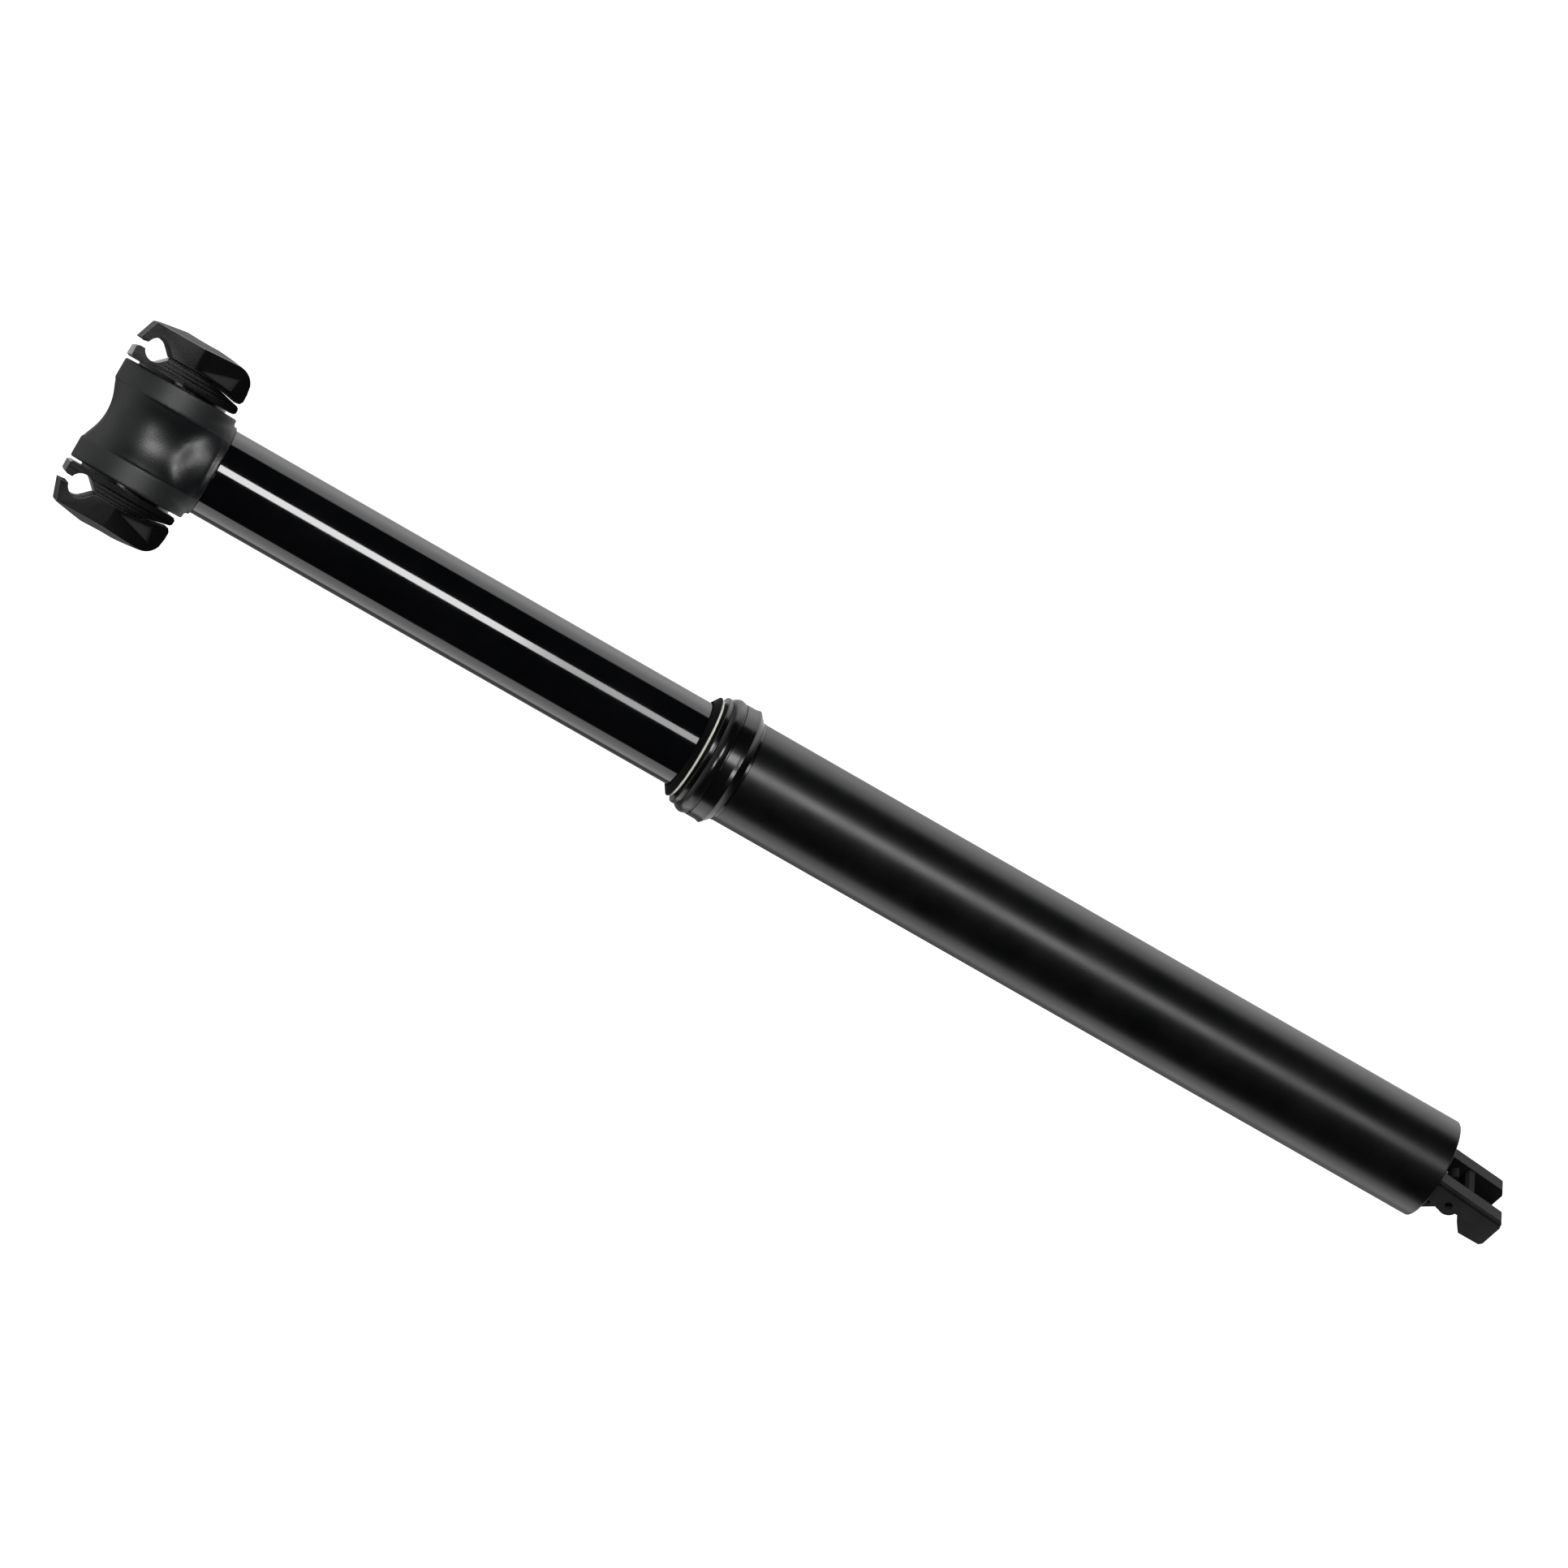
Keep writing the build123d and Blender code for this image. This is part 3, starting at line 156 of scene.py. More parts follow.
FINISHES = {finish.name: finish for finish in (
    Finish("anodised_gloss", (0.0008, 0.0009, 0.0012), (0.0016, 0.0017, 0.0022), 0.06, 0.04,
           Texture.DRAWN, 0.002, 500.0),
    Finish("anodised_satin", (0.0008, 0.0008, 0.001), (0.0018, 0.0018, 0.0022), 0.29, 0.06,
           Texture.BLASTED, 0.012, 2600.0, specular=0.36),
    Finish("collar_semi", (0.0008, 0.0008, 0.001), (0.002, 0.002, 0.0022), 0.17, 0.05,
           Texture.TURNED, 0.008, 2500.0, specular=0.4),
    # The head's end bands are rougher from turning, and their lighter zone tone is a painted highlight.
    Finish("forged_satin", (0.0008, 0.0011, 0.0015), (0.0016, 0.0022, 0.003), 0.38, 0.05,
           Texture.BLASTED, 0.03, 2200.0, zone=Zone.BANDS, zone_rough=0.12,
           zone_painted_light_tone=(0.005, 0.0056, 0.0064)),
    Finish("clamp_black", (0.0008, 0.0008, 0.001), (0.002, 0.0019, 0.0019), 0.16, 0.06,
           Texture.BLASTED, 0.006, 1900.0, specular=0.4),
    # The ears' recesses are rougher, and their lighter zone tone is painted light, standing in for their lit
    # slanted faces.
    Finish("ear_black", (0.0008, 0.0008, 0.001), (0.002, 0.0019, 0.0019), 0.16, 0.06,
           Texture.BLASTED, 0.006, 1900.0, specular=0.4, zone=Zone.POCKETS, zone_rough=0.34,
           zone_painted_light_tone=(0.006, 0.006, 0.0065)),
    # The slot between the cheeks gets a darker zone tone: painted shade, as little light reaches inside.
    Finish("actuator_grey", (0.009, 0.009, 0.0096), (0.017, 0.017, 0.0178), 0.5, 0.1,
           Texture.BLASTED, 0.04, 1700.0, specular=0.1, zone=Zone.SLOT, zone_rough=0.1,
           zone_painted_light_tone=(0.0025, 0.0025, 0.0028)),
    Finish("seal_rubber", (0.001, 0.001, 0.001), (0.002, 0.002, 0.002), 0.5, 0.1,
           Texture.MOULDED, 0.02, specular=0.06),
    # spring_steel's near-white, non-metal tone is a painted sheen: it stands in for the bright reflection of
    # steel wire.
    Finish("spring_steel", (1.0, 0.97, 0.88), (0.86, 0.83, 0.75), 0.45, 0.1, Texture.COILED, 0.1, 420.0),
    Finish("bolt_steel", (0.05, 0.05, 0.053), (0.08, 0.08, 0.083), 0.34, 0.08,
           Texture.TURNED, 0.01, 2600.0, metallic=0.6),
    Finish("key_brass", (0.72, 0.53, 0.24), (0.62, 0.44, 0.2), 0.28, 0.1, Texture.DRAWN, 0.008, metallic=1.0),
    Finish("bush_polymer", (0.06, 0.06, 0.065), (0.08, 0.08, 0.085), 0.5, 0.1, Texture.MOULDED, 0.02),
    Finish("cartridge_alloy", (0.6, 0.61, 0.64), (0.5, 0.51, 0.54), 0.3, 0.08,
           Texture.TURNED, 0.01, 2600.0, metallic=1.0),
)}

SLOT_NODES = {
    "anodised_gloss": ["stanchion"],
    "anodised_satin": ["outer_tube", "seal_collar"],
    "forged_satin": ["head"],
    "clamp_black": ["inner_clamp_left", "inner_clamp_right", "outer_clamp_left", "outer_clamp_right"],
    "actuator_grey": ["actuator_body", "cam_lever"],
    "seal_rubber": ["wiper_seal", "foot_seal", "rod_piston_seal", "gland_seal", "floating_piston_seal",
                    "rod_bumper"],
    "spring_steel": ["wiper_spring", "bush_ring"],
    "bolt_steel": ["clamp_bolt", "bolt_washer", "clamp_nut", "pivot_pin", "rod_nut", "valve_pin"],
    "key_brass": ["key_pins"],
    "bush_polymer": ["upper_bush_front", "upper_bush_rear", "lower_bush"],
    "cartridge_alloy": ["foot_plug", "cartridge_rod", "rod_piston", "cartridge_cylinder", "cartridge_gland",
                        "cartridge_cap", "cartridge_retainer", "floating_piston"],
}


class Nodes:
    """Steps that add nodes to a shader tree."""

    @staticmethod
    def add(tree: Tree, kind: str, output: str | int, inputs: dict, **settings: object) -> Socket:
        """Add a node, set it and link it.

        Args:
            tree: the node tree.
            kind: the node's type.
            output: the output that is wanted, by name or place.
            inputs: for each input, by name or place, a constant or the socket that feeds it.
            settings: the node's own settings, which are set first.

        Returns:
            The output socket.
        """
        node = tree.nodes.new(kind)
        for name, value in settings.items():
            setattr(node, name, value)
        for name, value in inputs.items():
            if isinstance(value, Socket):
                tree.links.new(value, node.inputs[name])
            else:
                node.inputs[name].default_value = value
        return node.outputs[output]

    @classmethod
    def maths(cls, tree: Tree, operation: str, *values: Socket | float) -> Socket:
        """Add a math node over one or two numbers or sockets, and return its output."""
        return cls.add(tree, "ShaderNodeMath", 0, dict(enumerate(values)), operation=operation)

    @classmethod
    def ramp(cls, tree: Tree, value: Socket, low: float, high: float, start: float, end: float) -> Socket:
        """Add a smooth map from one range to another.

        Args:
            tree: the node tree.
            value: the socket that is mapped.
            low: where the range begins.
            high: where it ends.
            start: the result up to its beginning.
            end: the result from its end on.

        Returns:
            The mapped socket.
        """
        inputs = {"Value": value, "From Min": low, "From Max": high, "To Min": start, "To Max": end}
        return cls.add(tree, "ShaderNodeMapRange", "Result", inputs, interpolation_type="SMOOTHSTEP")

    @staticmethod
    def split(tree: Tree, vector: Socket) -> tuple[Socket, Socket, Socket]:
        """Add a node that takes a vector apart.

        Args:
            tree: the node tree.
            vector: the vector's socket.

        Returns:
            The sockets of its X, Y and Z.
        """
        apart = tree.nodes.new("ShaderNodeSeparateXYZ")
        tree.links.new(vector, apart.inputs["Vector"])
        return apart.outputs["X"], apart.outputs["Y"], apart.outputs["Z"]


class GroupLibrary:
    """Shader node groups that the finishes share, each built once."""

    def __init__(self) -> None:
        """Start without any group."""
        self._groups: dict[str, Tree] = {}

    def _group(self, name: str, inputs: tuple[str, ...], output: str, fill: Callable[..., Socket]) -> Tree:
        """Return a node group, built at its first use.

        Args:
            name: the group's name.
            inputs: the inputs' names, of which Vector is a vector and the others are numbers.
            output: the output's name.
            fill: the function that builds the inside from the tree and the input sockets.

        Returns:
            The node group.
        """
        if name in self._groups:
            return self._groups[name]
        tree = bpy.data.node_groups.new(name, "ShaderNodeTree")
        for label in inputs:
            kind = "NodeSocketVector" if label == "Vector" else "NodeSocketFloat"
            tree.interface.new_socket(label, in_out="INPUT", socket_type=kind)
        tree.interface.new_socket(output, in_out="OUTPUT", socket_type="NodeSocketFloat")
        start, end = tree.nodes.new("NodeGroupInput"), tree.nodes.new("NodeGroupOutput")
        tree.links.new(fill(tree, *(start.outputs[label] for label in inputs)), end.inputs[output])
        self._groups[name] = tree
        return tree

    def patches(self) -> Tree:
        """Return the group that gives soft patches from 0 to 1, for tone and roughness."""
        return self._group("soft_patches", ("Vector", "Scale"), "Patch", self._patch)

    @staticmethod
    def _patch(tree: Tree, vector: Socket, scale: Socket) -> Socket:
        """Build a broad noise and spread its middle levels.

        Args:
            tree: the group's node tree.
            vector: the place's socket.
            scale: the socket of the patches' scale.

        Returns:
            The noise's socket, from 0 to 1.
        """
        noise = Nodes.add(tree, "ShaderNodeTexNoise", "Fac", {
            "Vector": vector, "Scale": scale, "Detail": PATCH_DETAIL, "Roughness": PATCH_ROUGHNESS})
        low, high = PATCH_LEVELS
        inputs = {"Value": noise, "From Min": low, "From Max": high}
        return Nodes.add(tree, "ShaderNodeMapRange", "Result", inputs)

    def zone(self, zone: Zone) -> Tree:
        """Return the group that is 1 inside a zone and 0 outside it.

        Args:
            zone: the part of the surface.

        Returns:
            The node group.
        """
        fill = {Zone.BANDS: self._bands, Zone.SLOT: self._slot, Zone.POCKETS: self._pockets}[zone]
        return self._group(zone.value, ("Vector",), "Mask", fill)

    @staticmethod
    def _bands(tree: Tree, vector: Socket) -> Socket:
        """Build the mask of the head's two turned end bands, which are rougher and carry a lighter tone as a
        painted highlight.

        Args:
            tree: the group's node tree.
            vector: the place's socket.

        Returns:
            The mask's socket.
        """
        _, along, _ = Nodes.split(tree, vector)
        edge = (HeadSizes().flange_inner - EDGE_MARGIN) * MM
        return Nodes.maths(tree, "GREATER_THAN", Nodes.maths(tree, "ABSOLUTE", along), edge)

    @staticmethod
    def _slot(tree: Tree, vector: Socket) -> Socket:
        """Build the mask of the actuator's slot between its cheeks, where the tone is darkened as painted
        shade.

        Args:
            tree: the group's node tree.
            vector: the place's socket.

        Returns:
            The mask's socket.
        """
        x, y, _ = Nodes.split(tree, vector)
        turn = math.radians(ActuatorSizes().turn)
        across = Nodes.maths(tree, "ADD", Nodes.maths(tree, "MULTIPLY", x, math.cos(turn)),
                             Nodes.maths(tree, "MULTIPLY", y, math.sin(turn)))
        edge = (ActuatorSizes().inner + EDGE_MARGIN) * MM
        return Nodes.maths(tree, "LESS_THAN", Nodes.maths(tree, "ABSOLUTE", across), edge)

    @staticmethod
    def _pockets(tree: Tree, vector: Socket) -> Socket:
        """Build the mask of the ears' cast recesses, which lie under their tapered end faces; the recesses
        are rougher and carry a lighter tone as painted light on their slanted faces.

        Args:
            tree: the group's node tree.
            vector: the place's socket.

        Returns:
            The mask's socket.
        """
        x, _, z = Nodes.split(tree, vector)
        s = ClampSizes()
        slope = (s.length - s.foot_length) / 2 / (s.waist - s.foot)
        below = Nodes.maths(tree, "MAXIMUM", Nodes.maths(tree, "SUBTRACT", s.waist * MM, z), 0.0)
        drift = Nodes.maths(tree, "MULTIPLY", below, slope)
        reach = Nodes.maths(tree, "ADD", Nodes.maths(tree, "ABSOLUTE", x), drift)
        return Nodes.maths(tree, "LESS_THAN", reach, (s.length / 2 - s.recess / 2) * MM)

    def relief(self, texture: Texture) -> Tree:
        """Return the group that gives a texture's height.

        Args:
            texture: the relief to build.

        Returns:
            The node group.
        """
        special = {Texture.COILED: self._coils, Texture.TURNED: self._rings, Texture.DRAWN: self._streaks}
        fill = special.get(texture, self._grain)
        return self._group("relief_" + texture.value, ("Vector", "Scale"), "Height", fill)

    @staticmethod
    def _grain(tree: Tree, vector: Socket, scale: Socket,
               stretch: tuple[float, ...] = (1.0, 1.0, 1.0)) -> Socket:
        """Build a fine noise that is drawn out along each direction whose share is small.

        Args:
            tree: the group's node tree.
            vector: the place's socket.
            scale: the socket of the grain's scale.
            stretch: each direction's share.

        Returns:
            The height's socket.
        """
        places = {0: vector, 1: stretch}
        place = Nodes.add(tree, "ShaderNodeVectorMath", "Vector", places, operation="MULTIPLY")
        inputs = {"Vector": place, "Scale": scale, "Detail": GRAIN_DETAIL}
        return Nodes.add(tree, "ShaderNodeTexNoise", "Fac", inputs)

    @classmethod
    def _rings(cls, tree: Tree, vector: Socket, scale: Socket) -> Socket:
        """Build turning marks round the post's axis."""
        return cls._grain(tree, vector, scale, (GRAIN_STRETCH, GRAIN_STRETCH, 1.0))

    @classmethod
    def _streaks(cls, tree: Tree, vector: Socket, scale: Socket) -> Socket:
        """Build drawing marks along the post's axis."""
        return cls._grain(tree, vector, scale, (1.0, 1.0, GRAIN_STRETCH))

    @staticmethod
    def _coils(tree: Tree, vector: Socket, turns: Socket) -> Socket:
        """Build fine coils round the post's axis.

        Args:
            tree: the group's node tree.
            vector: the place's socket.
            turns: the socket of how many coils there are.

        Returns:
            The height's socket.
        """
        x, y, _ = Nodes.split(tree, vector)
        angle = Nodes.maths(tree, "ARCTAN2", y, x)
        return Nodes.maths(tree, "SINE", Nodes.maths(tree, "MULTIPLY", angle, turns))


class MaterialShop:
    """Builds each finish once as a procedural material."""

    def __init__(self) -> None:
        """Start with an empty library and no finish."""
        self._library = GroupLibrary()
        self._made: dict[str, bpy.types.Material] = {}

    def material(self, name: str) -> bpy.types.Material:
        """Return the material of a finish.

        Args:
            name: the finish's name in FINISHES.

        Returns:
            The material, built at its first use.
        """
        if name not in self._made:
            self._made[name] = self._build(FINISHES[name])
        return self._made[name]

    def _build(self, finish: Finish) -> bpy.types.Material:
        """Build one finish: two tones, two roughnesses, a relief, and a zone where it has one, whose tone is
        painted light.

        Args:
            finish: the finish.

        Returns:
            The material.
        """
        material = bpy.data.materials.new(finish.name)
        material.use_nodes = True
        tree = material.node_tree
        place = tree.nodes.new("ShaderNodeTexCoord").outputs["Object"]
        patch = Nodes.add(tree, "ShaderNodeGroup", "Patch", {"Vector": place, "Scale": finish.patch},
                          node_tree=self._library.patches())
        tone = self._mix(tree, patch, (*finish.tone, 1.0), finish.second)
        rough = Nodes.add(tree, "ShaderNodeMapRange", "Result", {
            "Value": patch, "To Min": finish.rough, "To Max": finish.rough + finish.rough_spread})
        if finish.zone:
            mask = Nodes.add(tree, "ShaderNodeGroup", "Mask", {"Vector": place},
                             node_tree=self._library.zone(finish.zone))
            # The zone's tone is painted light: a painted highlight where it is lighter, painted shade where
            # it is darker.
            tone = self._mix(tree, mask, tone, finish.zone_painted_light_tone)
            rough = Nodes.maths(tree, "ADD", rough, Nodes.maths(tree, "MULTIPLY", mask, finish.zone_rough))
        height = Nodes.add(tree, "ShaderNodeGroup", "Height", {"Vector": place, "Scale": finish.grain},
                           node_tree=self._library.relief(finish.texture))
        bump = {"Height": height, "Distance": finish.relief * MM}
        normal = Nodes.add(tree, "ShaderNodeBump", "Normal", bump)
        shader = tree.nodes["Principled BSDF"]
        shader.inputs["Metallic"].default_value = finish.metallic
        shader.inputs["Specular IOR Level"].default_value = finish.specular
        for name, socket in (("Base Color", tone), ("Roughness", rough), ("Normal", normal)):
            tree.links.new(socket, shader.inputs[name])
        return material

    @staticmethod
    def _mix(tree: Tree, factor: Socket, first: Socket | tuple, second: tuple[float, float, float]) -> Socket:
        """Mix a tone, or a socket that carries one, with a second tone."""
        inputs = {"Factor": factor, "A": first, "B": (*second, 1.0)}
        return Nodes.add(tree, "ShaderNodeMix", "Result", inputs, data_type="RGBA")


class Bench:
    """Modelling steps shared by the sub-assemblies, all of them operators on the active object."""

    CORNER_STEPS = 6

    @staticmethod
    def select(piece: Piece) -> None:
        """Select one piece alone and make it active.

        Args:
            piece: the piece.
        """
        bpy.ops.object.select_all(action="DESELECT")
        piece.select_set(True)
        bpy.context.view_layer.objects.active = piece

    @staticmethod
    def add(name: str, shape: Callable, **settings: object) -> Piece:
        """Add one of Blender's mesh shapes.

        Args:
            name: the object's name.
            shape: the operator that adds it.
            settings: the operator's settings.

        Returns:
            The object.
        """
        bpy.ops.object.select_all(action="DESELECT")
        shape(**settings)
        piece = bpy.context.object
        piece.name = name
        return piece

    @classmethod
    @contextmanager
    def editing(cls, piece: Piece) -> Iterator[None]:
        """Open a piece in edit mode with its whole mesh selected, and close it afterwards.

        Args:
            piece: the piece.
        """
        cls.select(piece)
        bpy.ops.object.mode_set(mode="EDIT")
        bpy.ops.mesh.select_all(action="SELECT")
        yield
        bpy.ops.object.mode_set(mode="OBJECT")

    @classmethod
    def rounded(cls, corners: list[Corner]) -> list[Point]:
        """Return the points of a closed outline with its corners rounded.

        Args:
            corners: the sharp corners in order, in millimetres.

        Returns:
            Points in millimetres.
        """
        points = []
        count = len(corners)
        for place, corner in enumerate(corners):
            here = Vector((corner.across, corner.up))
            if corner.radius <= 0:
                points.append((here.x, here.y))
                continue
            before, after = corners[place - 1], corners[(place + 1) % count]
            back = (Vector((before.across, before.up)) - here).normalized()
            on = (Vector((after.across, after.up)) - here).normalized()
            half = back.angle(on) / 2
            centre = here + (back + on).normalized() * (corner.radius / math.sin(half))
            reach = corner.radius / math.tan(half)
            first, last = here + back * reach - centre, here + on * reach - centre
            turn = math.atan2(first.y, first.x)
            sweep = (math.atan2(last.y, last.x) - turn + math.pi) % FULL_TURN - math.pi
            for step in range(cls.CORNER_STEPS + 1):
                angle = turn + sweep * step / cls.CORNER_STEPS
                points.append((centre.x + corner.radius * math.cos(angle),
                               centre.y + corner.radius * math.sin(angle)))
        return points

    @staticmethod
    def arc(start: Point, middle: Point, end: Point, steps: int) -> list[Point]:
        """Return the points of the circle arc through three points.

        Args:
            start: first point.
            middle: a point between.
            end: last point.
            steps: how many parts the arc has.

        Returns:
            Points from start to end, both included.
        """
        (ax, ay), (bx, by), (cx, cy) = start, middle, end
        d = 2 * (ax * (by - cy) + bx * (cy - ay) + cx * (ay - by))
        ux = ((ax**2 + ay**2) * (by - cy) + (bx**2 + by**2) * (cy - ay) + (cx**2 + cy**2) * (ay - by)) / d
        uy = ((ax**2 + ay**2) * (cx - bx) + (bx**2 + by**2) * (ax - cx) + (cx**2 + cy**2) * (bx - ax)) / d
        radius = math.hypot(ax - ux, ay - uy)
        turns = [math.atan2(y - uy, x - ux) for x, y in (start, middle, end)]
        way = (turns[2] - turns[0]) % FULL_TURN
        if (turns[1] - turns[0]) % FULL_TURN > way:
            way -= FULL_TURN
        angles = [turns[0] + way * step / steps for step in range(steps + 1)]
        return [(ux + radius * math.cos(a), uy + radius * math.sin(a)) for a in angles]

    @classmethod
    def _open(cls, name: str) -> Piece:
        """Start an object that holds one selected vertex at the origin, and leave it in edit mode.

        Args:
            name: the object's name.

        Returns:
            The object.
        """
        piece = cls.add(name, bpy.ops.mesh.primitive_plane_add, size=MM)
        piece.data.name = name
        bpy.ops.object.mode_set(mode="EDIT")
        bpy.ops.mesh.select_all(action="SELECT")
        bpy.ops.mesh.merge(type="CENTER")
        return piece

    @classmethod
    def _trace(cls, name: str, places: list[Vector]) -> Piece:
        """Extrude one vertex round a closed outline, and leave the object in edit mode, all selected.

        Args:
            name: the object's name.
            places: the outline's points in metres.

        Returns:
            The object.
        """
        piece = cls._open(name)
        bpy.ops.transform.translate(value=places[0])
        for here, there in zip(places, places[1:] + places[:1]):
            bpy.ops.mesh.extrude_region_move(TRANSFORM_OT_translate={"value": there - here})
        bpy.ops.mesh.select_all(action="SELECT")
        bpy.ops.mesh.remove_doubles(threshold=TRACE_MERGE * MM)
        return piece

    @classmethod
    def turned(cls, name: str, outline: list[Point], axis: Axis, level: float, steps: int) -> Piece:
        """Turn a closed outline into a round piece.

        Args:
            name: the object's name.
            outline: points of (radius, place along the axis) in millimetres.
            axis: the axis that it is turned about.
            level: height of a cross axis in millimetres, and 0 for the post's.
            steps: how many steps the full turn has.

        Returns:
            The piece, in object mode.
        """
        if axis is Axis.POST:
            places = [Vector((r, 0, along)) * MM for r, along in outline]
        else:
            places = [Vector((r, along, level)) * MM for r, along in outline]
        piece = cls._trace(name, places)
        bpy.ops.mesh.select_all(action="SELECT")
        bpy.ops.mesh.spin(steps=steps, angle=FULL_TURN, center=(0, 0, level * MM), axis=axis.value)
        bpy.ops.mesh.select_all(action="SELECT")
        bpy.ops.mesh.remove_doubles(threshold=TURN_MERGE * MM)
        bpy.ops.mesh.normals_make_consistent(inside=False)
        bpy.ops.object.mode_set(mode="OBJECT")
        return piece

    @classmethod
    def upright(cls, name: str, outline: list[Point], steps: int = FINE_STEPS) -> Piece:
        """Turn a closed outline about the post's own axis, and return the piece."""
        return cls.turned(name, outline, Axis.POST, 0.0, steps)

    @classmethod
    def slab(cls, name: str, places: list[Vector], sweep: Vector) -> Piece:
        """Fill a closed outline and extrude it.

        Args:
            name: the object's name.
            places: the outline's points in metres.
            sweep: how far the face is extruded.

        Returns:
            The piece, in object mode.
        """
        piece = cls._trace(name, places)
        bpy.ops.mesh.select_all(action="SELECT")
        bpy.ops.mesh.edge_face_add()
        bpy.ops.mesh.extrude_region_move(TRANSFORM_OT_translate={"value": sweep})
        bpy.ops.mesh.select_all(action="SELECT")
        bpy.ops.mesh.normals_make_consistent(inside=False)
        bpy.ops.object.mode_set(mode="OBJECT")
        return piece

    @classmethod
    def box(cls, name: str, low: Vector, high: Vector) -> Piece:
        """Add a box between two corners.

        Args:
            name: the object's name.
            low: its lowest corner in millimetres.
            high: its highest corner in millimetres.

        Returns:
            The box.
        """
        piece = cls.add(name, bpy.ops.mesh.primitive_cube_add, size=1.0)
        with cls.editing(piece):
            bpy.ops.transform.resize(value=(high - low) * MM)
            bpy.ops.transform.translate(value=(low + high) / 2 * MM)
        return piece

    @classmethod
    def rod(cls, name: str, radius: float, start: Vector, end: Vector, sides: int = 64) -> Piece:
        """Add a round bar between two points.

        Args:
            name: the object's name.
            radius: its radius in millimetres.
            start: the middle of its first end, in millimetres.
            end: the middle of its other end.
            sides: how many sides it has.

        Returns:
            The bar.
        """
        way = end - start
        piece = cls.add(name, bpy.ops.mesh.primitive_cylinder_add, vertices=sides, radius=radius * MM,
                        depth=way.length * MM, location=(start + end) / 2 * MM,
                        rotation=way.to_track_quat("Z", "Y").to_euler())
        bpy.ops.object.transform_apply(location=True, rotation=True, scale=True)
        return piece

    @classmethod
    def apply(cls, piece: Piece, modifier: bpy.types.Modifier) -> None:
        """Apply a modifier of the piece."""
        cls.select(piece)
        bpy.ops.object.modifier_apply(modifier=modifier.name)

    @classmethod
    def combine(cls, piece: Piece, tools: list[Piece], operation: str) -> Piece:
        """Join, cut or intersect a piece with tools, which are used up.

        Args:
            piece: the piece that stays.
            tools: the pieces that it is combined with.
            operation: UNION, DIFFERENCE or INTERSECT.

        Returns:
            The piece.
        """
        for tool in tools:
            modifier = piece.modifiers.new("combine", "BOOLEAN")
            modifier.operation = operation
            modifier.solver = "EXACT"
            modifier.object = tool
            cls.apply(piece, modifier)
            bpy.ops.object.select_all(action="DESELECT")
            tool.select_set(True)
            bpy.ops.object.delete()
        return piece

    @classmethod
    def bevel(cls, piece: Piece, width: float, segments: int) -> None:
        """Round a piece's edges that are sharper than the bevel angle.

        Args:
            piece: the piece.
            width: the rounding's width in millimetres.
            segments: how many parts the rounding has.
        """
        modifier = piece.modifiers.new("edges", "BEVEL")
        modifier.width = width * MM
        modifier.segments = segments
        modifier.limit_method = "ANGLE"
        modifier.angle_limit = math.radians(BEVEL_ANGLE)
        modifier.use_clamp_overlap = True
        modifier.miter_outer = "MITER_ARC"
        cls.apply(piece, modifier)

    @classmethod
    def melt(cls, piece: Piece, voxel: float, rounds: int) -> None:
        """Blend a piece's joints like a forging: remesh it evenly and relax it.

        Args:
            piece: the piece.
            voxel: the mesh size in millimetres.
            rounds: how many times it is relaxed.
        """
        remesh = piece.modifiers.new("remesh", "REMESH")
        remesh.mode = "VOXEL"
        remesh.voxel_size = voxel * MM
        cls.apply(piece, remesh)
        relax = piece.modifiers.new("relax", "SMOOTH")
        relax.factor = 0.5
        relax.iterations = rounds
        cls.apply(piece, relax)

    @classmethod
    def smooth(cls, piece: Piece, angle: float = SMOOTH_ANGLE) -> None:
        """Shade a piece smooth, its large faces staying flat.

        Args:
            piece: the piece.
            angle: the edges' angle in degrees from which they stay sharp.
        """
        cls.select(piece)
        bpy.ops.object.shade_smooth_by_angle(angle=math.radians(angle))
        weighted = piece.modifiers.new("weighted", "WEIGHTED_NORMAL")
        weighted.mode = "FACE_AREA"
        weighted.keep_sharp = True
        cls.apply(piece, weighted)


class SubAssembly:
    """A group of pieces that are modelled together and handed to the frame."""

    def __init__(self, frame: dict, shop: MaterialShop) -> None:
        """Keep what every sub-assembly works with.

        Args:
            shop: where the finishes come from.
        """
        self.frame = frame
        self.shop = shop
        self.log = logging.getLogger("seatpost." + type(self).__name__)

    def body_of(self, node: str) -> str:
        """Look up the body that carries a CAD node.

        Args:
            node: the node's name.

        Returns:
            The body's name.
        """
        for body, nodes in self.frame["record"]["behaviour"]["bodies"].items():
            if node in nodes:
                return body
        raise KeyError(node)

    def place(self, piece: Piece, node: str, slot: str, finish: str = "",
              angle: float = SMOOTH_ANGLE) -> None:
        """Finish a piece that replaces a CAD node.

        Args:
            piece: the piece.
            node: the CAD node that it replaces.
            slot: the material slot that it belongs to.
            finish: the finish, where it isn't the slot's own.
            angle: smooth shading's limit in degrees.
        """
        Bench.smooth(piece, angle)
        piece.data.materials.clear()
        piece.data.materials.append(self.shop.material(finish or slot))
        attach(piece, self.body_of(node))
        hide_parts(node)
        self.log.info("%s: %d faces", piece.name, len(piece.data.polygons))


